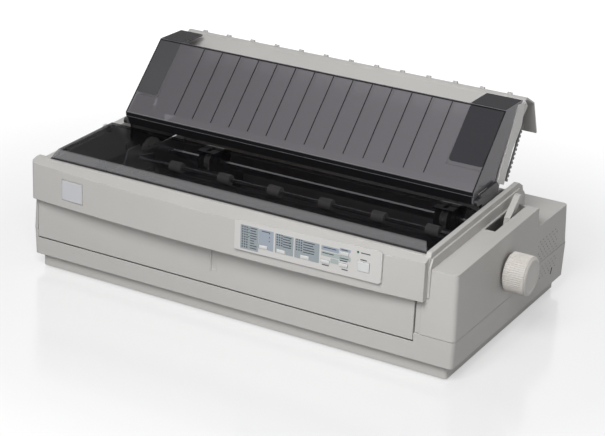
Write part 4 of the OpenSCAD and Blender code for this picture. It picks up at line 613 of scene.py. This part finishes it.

# Stage: a pale floor that brightens away from the printer through a painted glow, seen by camera and glossy
# rays only, a dim white world and large soft lights.
# Lengths are in metres here. Each light is its place, width and watts, and whether gloss mirrors it.

stage = {"floor": (0.42, 0.42, 0.423), "floorRough": 0.16, "floorSize": 60, "lift": (0.52, 0.95),
         "fade": (0.45, 1.35), "world": 0.16, "aim": (0, 0, 0.1),
         "lights": {"key": ((0.30, -1.25, 1.30), 0.9, 22, True), "top": ((-0.2, 0.2, 2.6), 2.2, 2, True),
                    "back": ((0.5, 2.3, 0.75), 1.8, 9, False)}}


def makeFloor(s):
    mat = bpy.data.materials.new("floor")
    mat.use_nodes = True
    tree = mat.node_tree
    body = tree.nodes["Principled BSDF"]
    body.inputs["Base Color"].default_value = (*s["floor"], 1)
    body.inputs["Roughness"].default_value = s["floorRough"]
    rays = tree.nodes.new("ShaderNodeLightPath")
    seen = tree.nodes.new("ShaderNodeMath")
    seen.operation = "MAXIMUM"
    link(tree, rays, "Is Camera Ray", seen, 0)
    link(tree, rays, "Is Glossy Ray", seen, 1)
    # Painted glow for camera and glossy rays, weaker near the printer
    glow = tree.nodes.new("ShaderNodeEmission")
    where = tree.nodes.new("ShaderNodeTexCoord")
    away = tree.nodes.new("ShaderNodeVectorMath")
    away.operation = "LENGTH"
    link(tree, where, "Object", away, 0)
    lift = spread(tree, away, "Value", *s["lift"], *s["fade"])
    level = tree.nodes.new("ShaderNodeMath")
    level.operation = "MULTIPLY"
    link(tree, lift, "Result", level, 1)
    link(tree, seen, "Value", level, 0)
    link(tree, level, "Value", glow, "Strength")
    both = tree.nodes.new("ShaderNodeAddShader")
    tree.links.new(body.outputs["BSDF"], both.inputs[0])
    tree.links.new(glow.outputs["Emission"], both.inputs[1])
    link(tree, both, "Shader", tree.nodes["Material Output"], "Surface")
    bpy.ops.mesh.primitive_plane_add(size=s["floorSize"], location=(0, 0, 0))
    floor = bpy.context.object
    floor.name = "floor"
    floor.data.materials.append(mat)


def makeWorld(s):
    world = bpy.data.worlds.new("studio")
    scene.world = world
    world.use_nodes = True
    tree = world.node_tree
    dim = tree.nodes["Background"]
    dim.inputs["Color"].default_value = (1, 1, 1, 1)
    dim.inputs["Strength"].default_value = s["world"]
    white = add(tree, "ShaderNodeBackground", Color=(1, 1, 1, 1), Strength=1.0)
    rays = tree.nodes.new("ShaderNodeLightPath")
    shown = tree.nodes.new("ShaderNodeMath")
    shown.operation = "MAXIMUM"
    link(tree, rays, "Is Camera Ray", shown, 0)
    link(tree, rays, "Is Glossy Ray", shown, 1)
    through = tree.nodes.new("ShaderNodeMath")
    through.operation = "MAXIMUM"
    link(tree, shown, "Value", through, 0)
    link(tree, rays, "Is Transmission Ray", through, 1)
    mix = tree.nodes.new("ShaderNodeMixShader")
    link(tree, through, "Value", mix, "Fac")
    link(tree, dim, "Background", mix, 1)
    tree.links.new(white.outputs["Background"], mix.inputs[2])
    link(tree, mix, "Shader", tree.nodes["World Output"], "Surface")


def makeLight(name, aim, at, wide, watts, mirrored):
    data = bpy.data.lights.new(name, "AREA")
    data.shape = "DISK"
    data.size = wide
    data.energy = watts
    lamp = bpy.data.objects.new(name, data)
    lamp.visible_glossy = mirrored
    lamp.location = at
    lamp.rotation_euler = (Vector(aim) - Vector(at)).to_track_quat("-Z", "Y").to_euler()
    scene.collection.objects.link(lamp)


makeFloor(stage)
makeWorld(stage)
for name, light in stage["lights"].items():
    makeLight(name, stage["aim"], *light)
scene.view_settings.view_transform = "Standard"
print("stage set")
